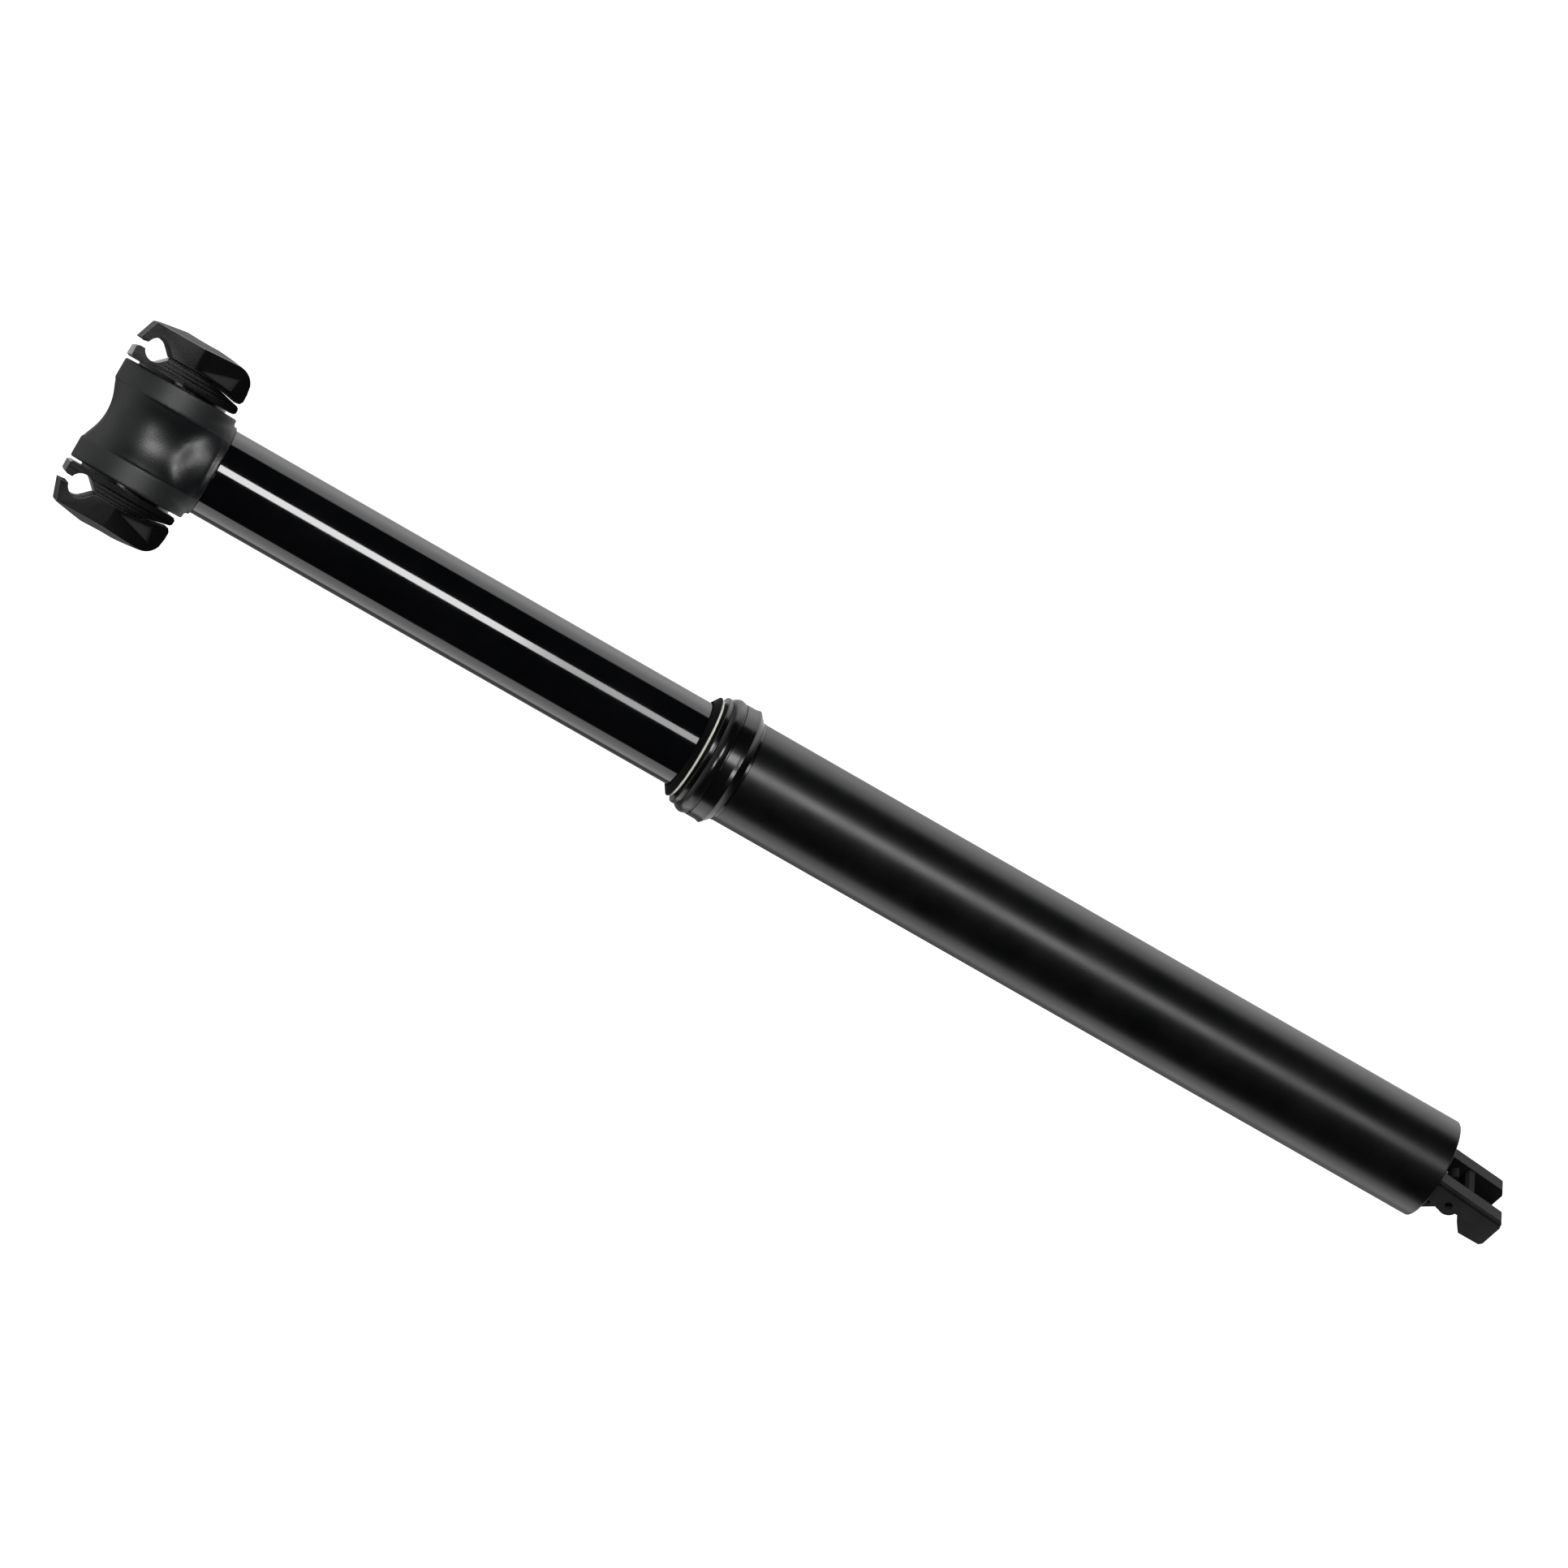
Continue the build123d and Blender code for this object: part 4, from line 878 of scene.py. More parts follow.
@dataclass(frozen=True)
class TubeSizes:
    """Sizes of the two post tubes in millimetres."""

    outer_r: float = 15.8
    bore_r: float = 14.2
    thread_r: float = 14.95
    thread_depth: float = 13.0
    length: float = 238.4
    upper_r: float = 13.4
    upper_bore_r: float = 11.7
    upper_top: float = 174.9
    upper_foot: float = -70.0
    ring_foot: float = -37.7
    ring_height: float = 1.2
    ring_depth: float = 0.5
    key_r: float = 1.2
    key_centre_r: float = 13.8
    key_foot: float = -64.0
    key_length: float = 10.0
    keyway_foot: float = -226.0
    keyway_top: float = -28.3
    keys: int = 3
    keyway_gap: float = 0.05
    key_fit: float = 0.02
    bore_edge: float = 0.2
    foot_edge: float = 0.4
    top_edge: float = 0.15


class PostTubes(SubAssembly):
    """The lower tube and the sliding upper tube."""

    sizes = TubeSizes()

    def build(self) -> None:
        """Model and place both tubes."""
        s = self.sizes
        lower = Bench.upright("lower_tube_shell", Bench.rounded([
            Corner(s.bore_r, -s.length, s.bore_edge), Corner(s.outer_r, -s.length, s.foot_edge),
            Corner(s.outer_r, 0, s.top_edge), Corner(s.thread_r, 0, s.bore_edge),
            Corner(s.thread_r, -s.thread_depth), Corner(s.bore_r, -s.thread_depth),
        ]))
        self._cut_keys(lower, s.key_r + s.keyway_gap, s.keyway_foot, s.keyway_top)
        self.place(lower, "outer_tube", "anodised_satin")
        ring_top = s.ring_foot + s.ring_height
        ring_r = s.upper_r - s.ring_depth
        upper = Bench.upright("upper_tube_shell", Bench.rounded([
            Corner(s.upper_bore_r, s.upper_foot, s.bore_edge), Corner(s.upper_r, s.upper_foot, s.foot_edge),
            Corner(s.upper_r, s.ring_foot), Corner(ring_r, s.ring_foot),
            Corner(ring_r, ring_top), Corner(s.upper_r, ring_top),
            Corner(s.upper_r, s.upper_top, s.top_edge), Corner(s.upper_bore_r, s.upper_top, s.top_edge),
        ]))
        key_top = s.key_foot + s.key_length
        self._cut_keys(upper, s.key_r + s.key_fit, s.key_foot - s.key_fit, key_top + s.key_fit)
        self.place(upper, "stanchion", "anodised_gloss")

    def _cut_keys(self, tube: Piece, radius: float, low: float, high: float) -> None:
        """Cut the key grooves into a tube's wall.

        Args:
            tube: the tube.
            radius: the grooves' radius in millimetres.
            low: their lower end.
            high: their upper end.
        """
        s = self.sizes
        tools = []
        for key in range(s.keys):
            turn = FULL_TURN * key / s.keys
            x, y = s.key_centre_r * math.cos(turn), s.key_centre_r * math.sin(turn)
            tools.append(Bench.rod("key_tool", radius, Vector((x, y, low)), Vector((x, y, high)), sides=24))
        Bench.combine(tube, tools, "DIFFERENCE")


@dataclass(frozen=True)
class CollarSizes:
    """Sizes of the seal collar, the wiper and its garter in millimetres.

    The collar's cone, crown and the grooves at its waist and bead are given as shares of its height.
    """

    height: float = 13.4
    bore_r: float = 13.7
    skirt_r: float = 14.93
    skirt: float = 12.0
    foot_r: float = 15.9
    rim_r: float = 18.5
    waist_r: float = 18.16
    bead_r: float = 17.3
    seat_r: float = 15.02
    seat_depth: float = 8.4
    groove: float = 0.35
    wiper_top: float = 16.8
    wiper_r: float = 16.2
    wiper_bore: float = 13.45
    wiper_body_r: float = 15.0
    garter_r: float = 15.58
    garter_wire: float = 0.76
    garter_z: float = 14.5
    seat_gap: float = 0.01
    seat_half: float = 0.41
    lip_height: float = 1.7
    lip_chamfer: float = 0.85
    relief: float = 0.55
    foot_step: float = 1.2
    crown_drop: float = 0.3
    waist_rise: float = 0.05
    cone: tuple[float, ...] = (0.067, 0.155, 0.245, 0.335)
    waist_groove: tuple[float, ...] = (0.56, 0.575, 0.6, 0.615)
    crown: tuple[float, ...] = (0.71, 0.795, 0.88)
    bead_groove: tuple[float, ...] = (0.89, 0.905, 0.92)


class SealStack(SubAssembly):
    """The screwed collar with the rubber wiper and its garter."""

    sizes = CollarSizes()

    def build(self) -> None:
        """Model and place the three rings."""
        self._collar()
        self._wiper()
        s = self.sizes
        garter = Bench.add("garter_coil", bpy.ops.mesh.primitive_torus_add, major_radius=s.garter_r * MM,
                           minor_radius=s.garter_wire / 2 * MM, major_segments=FINE_STEPS, minor_segments=16,
                           location=(0, 0, s.garter_z * MM))
        bpy.ops.object.transform_apply(location=True)
        self.place(garter, "wiper_spring", "spring_steel")

    def _collar(self) -> None:
        """Model the collar from its turned outline."""
        s = self.sizes
        band, middle, rim, cone_top = (s.height * share for share in s.cone)
        waist, waist_low, waist_high, waist_end = (s.height * share for share in s.waist_groove)
        crown_foot, crown_middle, crown_top = (s.height * share for share in s.crown)
        bead_low, bead_high, bead_end = (s.height * share for share in s.bead_groove)
        groove_r, bead_groove_r = s.waist_r - s.groove, s.bead_r - s.groove
        seat_foot = s.height - s.seat_depth
        crown = Bench.arc(
            (s.rim_r, crown_foot), (s.rim_r - s.crown_drop, crown_middle), (s.bead_r, crown_top), steps=10)
        lower = [Corner(s.bore_r, -s.skirt), Corner(s.skirt_r, -s.skirt, 0.3), Corner(s.skirt_r, 0),
                 Corner(s.foot_r, 0, 0.1), Corner(s.foot_r, band, 0.1),
                 Corner((s.foot_r + s.rim_r) / 2, middle, 0.2), Corner(s.rim_r, rim, 0.25),
                 Corner(s.waist_r, cone_top, 0.3), Corner(s.waist_r, waist), Corner(groove_r, waist_low, 0.1),
                 Corner(groove_r, waist_high, 0.1), Corner(s.waist_r + s.waist_rise, waist_end, 0.2)]
        upper = [Corner(r, z) for r, z in crown]
        top = [Corner(bead_groove_r, bead_low), Corner(bead_groove_r, bead_high),
               Corner(s.bead_r, bead_end, 0.1), Corner(s.bead_r, s.height, 0.35),
               Corner(s.seat_r, s.height, 0.15),
               Corner(s.seat_r, seat_foot), Corner(s.bore_r, seat_foot)]
        collar = Bench.upright("collar_ring", Bench.rounded(lower + upper + top))
        self.place(collar, "seal_collar", "anodised_satin", "collar_semi", angle=24.0)

    def _wiper(self) -> None:
        """Model the wiper with its flared lip and the seat of its garter."""
        s = self.sizes
        lip = s.wiper_top - s.lip_height
        seat_r = s.garter_r - s.garter_wire / 2 - s.seat_gap
        seat_top, seat_foot = s.garter_z + s.seat_half, s.garter_z - s.seat_half
        foot = s.height - s.seat_depth
        wide = s.wiper_bore + s.relief
        step_r = s.wiper_body_r - s.foot_step
        outline = [
            Corner(s.wiper_bore, s.wiper_top - s.lip_chamfer), Corner(wide, s.wiper_top, 0.15),
            Corner(s.wiper_r, lip + 0.2, 0.3), Corner(s.wiper_r, seat_top + s.seat_gap, 0.04),
            Corner(seat_r, seat_top), Corner(seat_r, seat_foot),
            Corner(s.wiper_body_r, seat_foot), Corner(s.wiper_body_r, foot, 0.2),
            Corner(step_r, foot, 0.1), Corner(step_r, foot + s.foot_step),
            Corner(s.wiper_bore, foot + 2 * s.foot_step), Corner(wide, foot + 3 * s.foot_step),
            Corner(wide, lip - s.foot_step),
        ]
        wiper = Bench.upright("wiper_ring", Bench.rounded(outline))
        self.place(wiper, "wiper_seal", "seal_rubber")


@dataclass(frozen=True)
class HeadSizes:
    """Sizes of the forged head in millimetres."""

    barrel_z: float = 194.3
    half: float = 16.05
    flange_r: float = 18.1
    flange_inner: float = 9.5
    waist_r: float = 14.9
    foot_z: float = 174.9
    neck_r: float = 14.1
    ring: float = 1.4
    flare_r: float = 15.4
    flare: float = 6.0
    shrink: float = 0.4
    spigot: float = 14.0
    spigot_r: float = 11.65
    spigot_edge: float = 0.5
    bore_r: float = 6.05
    bore_top: float = 5.0
    hub_r: float = 14.2
    hub_depth: float = 6.0
    bolt_r: float = 4.3
    band_inner_r: float = 8.0
    band_edge: float = 0.5
    ring_edge: float = 0.25
    taper_foot: float = 10.0
    taper_top: float = 4.0
    taper_share: float = 0.55
    cast_mesh: float = 0.75
    cast_rounds: int = 110
    fine_mesh: float = 0.34
    fine_rounds: int = 4
    steps: int = 224
    neck_steps: int = 192


class ForgedHead(SubAssembly):
    """The hourglass barrel on its flared neck, blended as a forging."""

    sizes = HeadSizes()

    def build(self) -> None:
        """Model and place the head."""
        s = self.sizes
        head = self._forging()
        Bench.melt(head, s.cast_mesh, s.cast_rounds)
        Bench.combine(head, self._bands(), "UNION")
        Bench.melt(head, s.fine_mesh, s.fine_rounds)
        spigot_foot, joint = s.foot_z - s.spigot, s.foot_z + OVERRUN
        spigot = Bench.upright("spigot_tool", Bench.rounded([
            Corner(0, spigot_foot), Corner(s.spigot_r, spigot_foot, s.spigot_edge),
            Corner(s.spigot_r, joint), Corner(0, joint)]), steps=128)
        Bench.combine(head, [spigot], "UNION")
        centre = Vector((0, 0, s.barrel_z))
        reach = Vector((0, s.half + 2 * OVERRUN, 0))
        seat = Vector((0, s.half - s.hub_depth, 0))
        bore_foot, bore_end = Vector((0, 0, spigot_foot - OVERRUN)), Vector((0, 0, s.foot_z + s.bore_top))
        Bench.combine(head, [
            Bench.rod("hub_tool", s.hub_r, centre + seat, centre + reach, sides=160),
            Bench.rod("hub_tool", s.hub_r, centre - reach, centre - seat, sides=160),
            Bench.rod("bolt_tool", s.bolt_r, centre - reach, centre + reach),
            Bench.rod("bore_tool", s.bore_r, bore_foot, bore_end, sides=96),
        ], "DIFFERENCE")
        self.place(head, "head", "forged_satin", angle=40.0)

    def _forging(self) -> Piece:
        """Join the hourglass barrel and the flared neck, both larger by what the blending takes off.

        Returns:
            The rough head.
        """
        s = self.sizes
        end, r = s.half - OVERRUN, s.flange_r
        waist = Bench.arc((r, -s.flange_inner), (s.waist_r, 0), (r, s.flange_inner), steps=28)
        core = [Corner(0, -end)]
        core += [Corner(across + s.shrink, along) for across, along in [(r, -end), *waist, (r, end)]]
        core += [Corner(0, end)]
        head = Bench.turned("head_forging", Bench.rounded(core), Axis.CROSS, s.barrel_z, s.steps)
        ring_top, neck_r = s.foot_z + s.ring, s.neck_r + s.shrink
        taper_foot, taper_top = s.barrel_z - s.taper_foot, s.barrel_z - s.taper_top
        neck = Bench.upright("neck_tool", Bench.rounded([
            Corner(0, s.foot_z), Corner(neck_r, s.foot_z), Corner(neck_r, ring_top),
            Corner(s.flare_r, ring_top + s.flare, 4.0), Corner(s.flare_r, taper_foot, 3.0),
            Corner(s.flare_r * s.taper_share, taper_top), Corner(0, taper_top)]), s.neck_steps)
        return Bench.combine(head, [neck], "UNION")

    def _bands(self) -> list[Piece]:
        """Turn the barrel's two end bands and the ring at the neck's foot.

        Returns:
            The bands and the ring.
        """
        s = self.sizes
        inner, top = s.band_inner_r, s.foot_z + s.ring
        bands = []
        for side in (1, -1):
            outline = [Corner(inner, side * s.half), Corner(s.flange_r, side * s.half, s.band_edge),
                       Corner(s.flange_r, side * s.flange_inner), Corner(inner, side * s.flange_inner)]
            bands.append(Bench.turned("band_tool", Bench.rounded(outline), Axis.CROSS, s.barrel_z, s.steps))
        foot = [Corner(inner, s.foot_z), Corner(s.neck_r, s.foot_z, s.ring_edge), Corner(s.neck_r, top),
                Corner(inner, top)]
        return bands + [Bench.upright("ring_tool", Bench.rounded(foot), s.neck_steps)]


@dataclass(frozen=True)
class ClampSizes:
    """Sizes of the saddle clamp in millimetres; an outline's points are (along the bolt, up)."""

    barrel_z: float = 194.3
    rail_y: float = 22.0
    rail_z: float = 206.3
    rail_r: float = 3.5
    groove_point: float = 4.95
    length: float = 38.0
    foot_length: float = 25.0
    top: float = 212.2
    foot: float = 178.1
    crown_r: float = 90.0
    ear_y: float = 30.9
    recess: float = 2.2
    plate_y: float = 16.9
    plate_thick: float = 1.7
    plate_length: float = 37.0
    plate_foot_length: float = 24.0
    plate_step: float = 1.2
    flutes: int = 3
    flute: float = 0.55
    flute_start: float = 0.1
    flute_pitch: float = 1.15
    flute_depth: float = 0.6
    hub_r: float = 14.15
    hub_y: float = 10.35
    hole_r: float = 4.3
    pocket_y: float = 24.2
    pocket_r: float = 7.2
    nut_r: float = 7.0
    nut_flats: float = 11.3
    nut_hole_r: float = 5.6
    ear_bevel: float = 0.45
    plate_bevel: float = 0.2
    hub_overlap: float = 0.6
    hole_span: tuple[float, float] = (5.0, 25.0)
    skin: float = 0.1
    ear_heel: tuple[Point, ...] = ((22.075, 188.33), (20.18, 178.65), (21.28, 177.9), (23.61, 177.96))
    ear_corner: tuple[Point, ...] = ((26.13, 178.37), (28.43, 180.01), (29.66, 183.04))
    ear_dome: tuple[Point, ...] = ((29.66, 183.04), (30.9, 196.51), (30.77, 201.08))
    ear_hook: tuple[Point, ...] = ((29.22, 210.09), (23.1, 212.2), (22.9, 210.09), (22.075, 207.09))
    ear_recess: tuple[Point, ...] = ((23.07, 193.79), (22.18, 182.87), (26.63, 181.85), (25.74, 184.92))
    plate: tuple[Point, ...] = (
        (16.9, 178.78), (17.5, 178.1), (19.01, 178.1), (19.46, 178.78), (21.925, 189.69), (21.925, 201.97),
        (20.82, 205.38), (20.82, 211.18), (20.22, 212.13), (17.4, 212.13), (16.9, 211.35))

    @property
    def waist(self) -> float:
        """The height at which the ends begin to taper."""
        return (self.top + self.foot) / 2


class SaddleClamp(SubAssembly):
    """Two inner plates on their hubs, and two hooked ears."""

    sizes = ClampSizes()

    def build(self) -> None:
        """Model and place the four clamp pieces."""
        for side, word in ((1, "left"), (-1, "right")):
            self.place(self._ear(side), "outer_clamp_" + word, "clamp_black", "ear_black", angle=32.0)
            self.place(self._plate(side), "inner_clamp_" + word, "clamp_black", angle=32.0)

    def _section(self, name: str, points: list[Point], side: int, start: float, end: float) -> Piece:
        """Extrude a cross section along the rails.

        Args:
            name: the piece's name.
            points: the section's outline.
            side: 1 for the left clamp, -1 for the right one.
            start: the x at which it starts.
            end: the x at which it ends.

        Returns:
            The piece.
        """
        places = [Vector((start, side * y, z)) * MM for y, z in points]
        return Bench.slab(name, places, Vector(((end - start) * MM, 0, 0)))

    def _taper(self, inset: float, side: int, start: float, end: float, plate: bool = False) -> Piece:
        """Return the envelope that narrows a clamp piece towards its foot.

        Args:
            inset: how far it stays inside the piece's ends.
            side: 1 for the left clamp, -1 for the right one.
            start: where it starts along the bolt.
            end: where it ends along the bolt.
            plate: whether it belongs to the inner plate, not to the ear.

        Returns:
            The envelope.
        """
        s = self.sizes
        half = (s.plate_length if plate else s.length) / 2 - inset
        low = (s.plate_foot_length if plate else s.foot_length) / 2 - inset
        top, foot = s.top + OVERRUN, s.foot - OVERRUN
        line = [(-half, top), (-half, s.waist), (-low, foot), (low, foot), (half, s.waist), (half, top)]
        places = [Vector((x, side * start, z)) * MM for x, z in line]
        return Bench.slab("taper_tool", places, Vector((0, side * (end - start) * MM, 0)))

    def _groove(self, side: int) -> list[Piece]:
        """Model the tools that cut the rail's bore and the pointed relief under it.

        Args:
            side: 1 for the left clamp, -1 for the right one.

        Returns:
            The two tools.
        """
        s = self.sizes
        reach = s.length / 2 + OVERRUN
        start, end = (Vector((x, side * s.rail_y, s.rail_z)) for x in (-reach, reach))
        bar = Bench.rod("rail_tool", s.rail_r, start, end, sides=96)
        point = s.rail_z - s.groove_point
        rise = s.groove_point - s.rail_r / math.sqrt(2)
        line = [(s.rail_y, point), (s.rail_y + rise, point + rise), (s.rail_y, s.rail_z),
                (s.rail_y - rise, point + rise)]
        return [bar, self._section("relief_tool", line, side, -reach, reach)]

    def _ear(self, side: int) -> Piece:
        """Model one hooked ear.

        Args:
            side: 1 for the left ear, -1 for the right one.

        Returns:
            The ear.
        """
        s = self.sizes
        corner = Bench.arc(*s.ear_corner, steps=6)
        points = [*s.ear_heel, *corner[:-1], *Bench.arc(*s.ear_dome, steps=14), *s.ear_hook]
        name = "ear_left" if side > 0 else "ear_right"
        ear = self._section(name, points, side, -s.length / 2, s.length / 2)
        outside = s.ear_y + 2 * OVERRUN
        crown_y = side * (s.ear_y - s.crown_r)
        crown = Bench.rod("crown_tool", s.crown_r, Vector((0, crown_y, s.foot - 2 * OVERRUN)),
                          Vector((0, crown_y, s.top + 2 * OVERRUN)), sides=900)
        Bench.combine(ear, [self._taper(0, side, s.plate_y, outside), crown], "INTERSECT")
        tools = self._groove(side)
        for end in (1, -1):
            pocket = self._section("recess_tool", s.ear_recess, side, 0, end * s.length)
            core = self._taper(s.recess, side, 0, s.ear_y + 4 * OVERRUN)
            tools.append(Bench.combine(pocket, [core], "DIFFERENCE"))
        Bench.combine(ear, tools, "DIFFERENCE")
        Bench.bevel(ear, s.ear_bevel, segments=3)
        inside, face, mouth = (Vector((0, side * y, s.barrel_z)) for y in (s.plate_y, s.pocket_y, outside))
        if side > 0:
            holes = [Bench.rod("pocket_tool", s.pocket_r, face, mouth, sides=96),
                     Bench.rod("hole_tool", s.hole_r, inside, mouth)]
        else:
            half, wide = s.nut_flats / 2, s.nut_r + 3 * OVERRUN
            flats = Bench.box("flats_tool", Vector((-wide, -s.ear_y - 3 * OVERRUN, s.barrel_z - half)),
                              Vector((wide, -s.pocket_y, s.barrel_z + half)))
            nest = Bench.rod("pocket_tool", s.nut_r, face, mouth, sides=96)
            holes = [Bench.combine(nest, [flats], "INTERSECT"),
                     Bench.rod("hole_tool", s.nut_hole_r, inside, mouth)]
        return Bench.combine(ear, holes, "DIFFERENCE")

    def _flutes(self, side: int) -> list[Piece]:
        """Return the cutters of the fine flutes down both ends of an inner plate.

        Args:
            side: 1 for the left plate, -1 for the right one.

        Returns:
            The cutters.
        """
        s = self.sizes
        half, low = s.plate_length / 2 - s.plate_step, s.plate_foot_length / 2 - s.plate_step
        top, foot = s.rail_z - s.groove_point + OVERRUN, s.foot - OVERRUN
        out, deep = OVERRUN / 2, -s.flute_depth
        line = [(half + out, top), (half + out, s.waist), (low + out, foot),
                (low + deep, foot), (half + deep, s.waist), (half + deep, top)]
        tools = []
        for lane in range(s.flutes):
            y = s.plate_y + s.plate_thick + s.flute_start + lane * s.flute_pitch
            for end in (1, -1):
                places = [Vector((end * x, side * y, z)) * MM for x, z in line]
                tools.append(Bench.slab("flute_tool", places, Vector((0, side * s.flute * MM, 0))))
        return tools

    def _plate(self, side: int) -> Piece:
        """Model one inner plate with its hub.

        Args:
            side: 1 for the left plate, -1 for the right one.

        Returns:
            The plate.
        """
        s = self.sizes
        name = "plate_left" if side > 0 else "plate_right"
        plate = self._section(name, s.plate, side, -s.plate_length / 2, s.plate_length / 2)
        start = s.plate_y - s.skin
        envelope = self._taper(0, side, start, s.plate_y + s.plate_thick, plate=True)
        inner = self._taper(s.plate_step, side, start, s.rail_y + OVERRUN, plate=True)
        Bench.combine(envelope, [inner], "UNION")
        Bench.combine(plate, [envelope], "INTERSECT")
        Bench.combine(plate, self._groove(side) + self._flutes(side), "DIFFERENCE")
        Bench.bevel(plate, s.plate_bevel, segments=2)
        near, far = (Vector((0, side * y, s.barrel_z)) for y in (s.hub_y, s.plate_y + s.hub_overlap))
        Bench.combine(plate, [Bench.rod("hub_tool", s.hub_r, near, far, sides=160)], "UNION")
        near, far = (Vector((0, side * y, s.barrel_z)) for y in s.hole_span)
        return Bench.combine(plate, [Bench.rod("hole_tool", s.hole_r, near, far)], "DIFFERENCE")


@dataclass(frozen=True)
class FasteningSizes:
    """Sizes of the cross bolt, its washer and its nut in millimetres."""

    barrel_z: float = 194.3
    shank_r: float = 3.97
    core_r: float = 3.45
    pitch: float = 1.25
    thread_start: float = -29.2
    thread_turns: int = 16
    end_y: float = -29.6
    head_y: float = 25.4
    head_r: float = 6.5
    head_end: float = 30.2
    socket_r: float = 3.464
    socket_depth: float = 3.4
    washer_r: float = 6.9
    washer_y: float = 24.2
    nut_r: float = 6.7
    nut_flats: float = 11.0
    nut_end: float = 30.2
    nut_spigot_r: float = 5.3
    nut_spigot: float = 1.9
    hole_r: float = 4.05
    ridge_share: float = 0.42
    crest_share: float = 0.08
    root_inset: float = 0.15
    crest_inset: float = 0.03
    end_inset: float = 0.3
    end_length: float = 0.5
    runout: float = 0.6
    sliver: float = 0.0001
    thread_steps: int = 48


class ClampFastening(SubAssembly):
    """The cross bolt with its real thread, washer and flatted nut."""

    sizes = FasteningSizes()

    def build(self) -> None:
        """Model and place the three fasteners."""
        s = self.sizes
        self.place(self._bolt(), "clamp_bolt", "bolt_steel")
        washer = self._turned("washer_ring", [
            Corner(s.hole_r, s.washer_y, 0.1), Corner(s.washer_r, s.washer_y, 0.15),
            Corner(s.washer_r, s.head_y, 0.15), Corner(s.hole_r, s.head_y, 0.1)])
        self.place(washer, "bolt_washer", "bolt_steel")
        self.place(self._nut(), "clamp_nut", "bolt_steel")

    def _turned(self, name: str, corners: list[Corner], steps: int = 96) -> Piece:
        """Turn a rounded outline about the bolt, and return the piece."""
        return Bench.turned(name, Bench.rounded(corners), Axis.CROSS, self.sizes.barrel_z, steps)

    def _bolt(self) -> Piece:
        """Model the bolt: turned body, hexagon socket, and a thread swept by the screw modifier.

        Returns:
            The bolt.
        """
        s = self.sizes
        thread_end = s.thread_start + s.pitch * s.thread_turns
        bolt = self._turned("cross_bolt", [
            Corner(0, s.end_y), Corner(s.core_r - s.end_inset, s.end_y, 0.2),
            Corner(s.core_r, s.end_y + s.end_length), Corner(s.core_r, thread_end),
            Corner(s.shank_r, thread_end + s.runout, 0.2),
            Corner(s.shank_r, s.head_y), Corner(s.head_r, s.head_y, 0.2), Corner(s.head_r, s.head_end, 0.7),
            Corner(0, s.head_end)], steps=128)
        bottom = Vector((0, s.head_end - s.socket_depth, s.barrel_z))
        mouth = Vector((0, s.head_end + OVERRUN, s.barrel_z))
        Bench.combine(bolt, [Bench.rod("socket_tool", s.socket_r, bottom, mouth, sides=6)], "DIFFERENCE")
        Bench.smooth(bolt)
        thread = self._thread()
        Bench.select(bolt)
        thread.select_set(True)
        bpy.ops.object.join()
        return bolt

    def _thread(self) -> Piece:
        """Sweep one ridge's section round the bolt, advanced by the pitch.

        Returns:
            The thread.
        """
        s = self.sizes
        half, crest = s.pitch * s.ridge_share, s.pitch * s.crest_share
        root_r, crest_r = s.core_r - s.root_inset, s.shank_r - s.crest_inset
        section = [(root_r, -half), (crest_r, -crest), (crest_r, crest), (root_r, half)]
        places = [Vector((r, 0, along)) * MM for r, along in section]
        thread = Bench.slab("thread_ridge", places, Vector((0, s.sliver * MM, 0)))
        with Bench.editing(thread):
            bpy.ops.mesh.remove_doubles(threshold=FLAT_MERGE * MM)
        screw = thread.modifiers.new("screw", "SCREW")
        screw.axis = "Z"
        screw.screw_offset = s.pitch * MM
        screw.iterations = s.thread_turns
        screw.steps = s.thread_steps
        screw.render_steps = s.thread_steps
        Bench.apply(thread, screw)
        with Bench.editing(thread):
            bpy.ops.transform.rotate(value=math.pi / 2, orient_axis="X", center_override=(0, 0, 0))
            bpy.ops.mesh.normals_make_consistent(inside=False)
        low = min(vertex.co.y for vertex in thread.data.vertices)
        with Bench.editing(thread):
            bpy.ops.transform.translate(value=(0, s.thread_start * MM - low, s.barrel_z * MM))
        return thread

    def _nut(self) -> Piece:
        """Model the nut: a turned bar with two flats and a spigot.

        Returns:
            The nut.
        """
        s = self.sizes
        y, half, wide = -s.washer_y, s.nut_flats / 2, 9
        nut = self._turned("flat_nut", [
            Corner(s.hole_r, y), Corner(s.nut_r, y), Corner(s.nut_r, -s.nut_end, 0.5),
            Corner(s.hole_r, -s.nut_end, 0.3)])
        flats = Bench.box("flats_tool", Vector((-wide, -s.nut_end - 2 * OVERRUN, s.barrel_z - half)),
                          Vector((wide, y + OVERRUN, s.barrel_z + half)))
        Bench.combine(nut, [flats], "INTERSECT")
        end, joint = y + s.nut_spigot, y - OVERRUN / 2
        spigot = self._turned("spigot_tool", [
            Corner(s.hole_r, end), Corner(s.nut_spigot_r, end, 0.2), Corner(s.nut_spigot_r, joint),
            Corner(s.hole_r, joint)])
        return Bench.combine(nut, [spigot], "UNION")


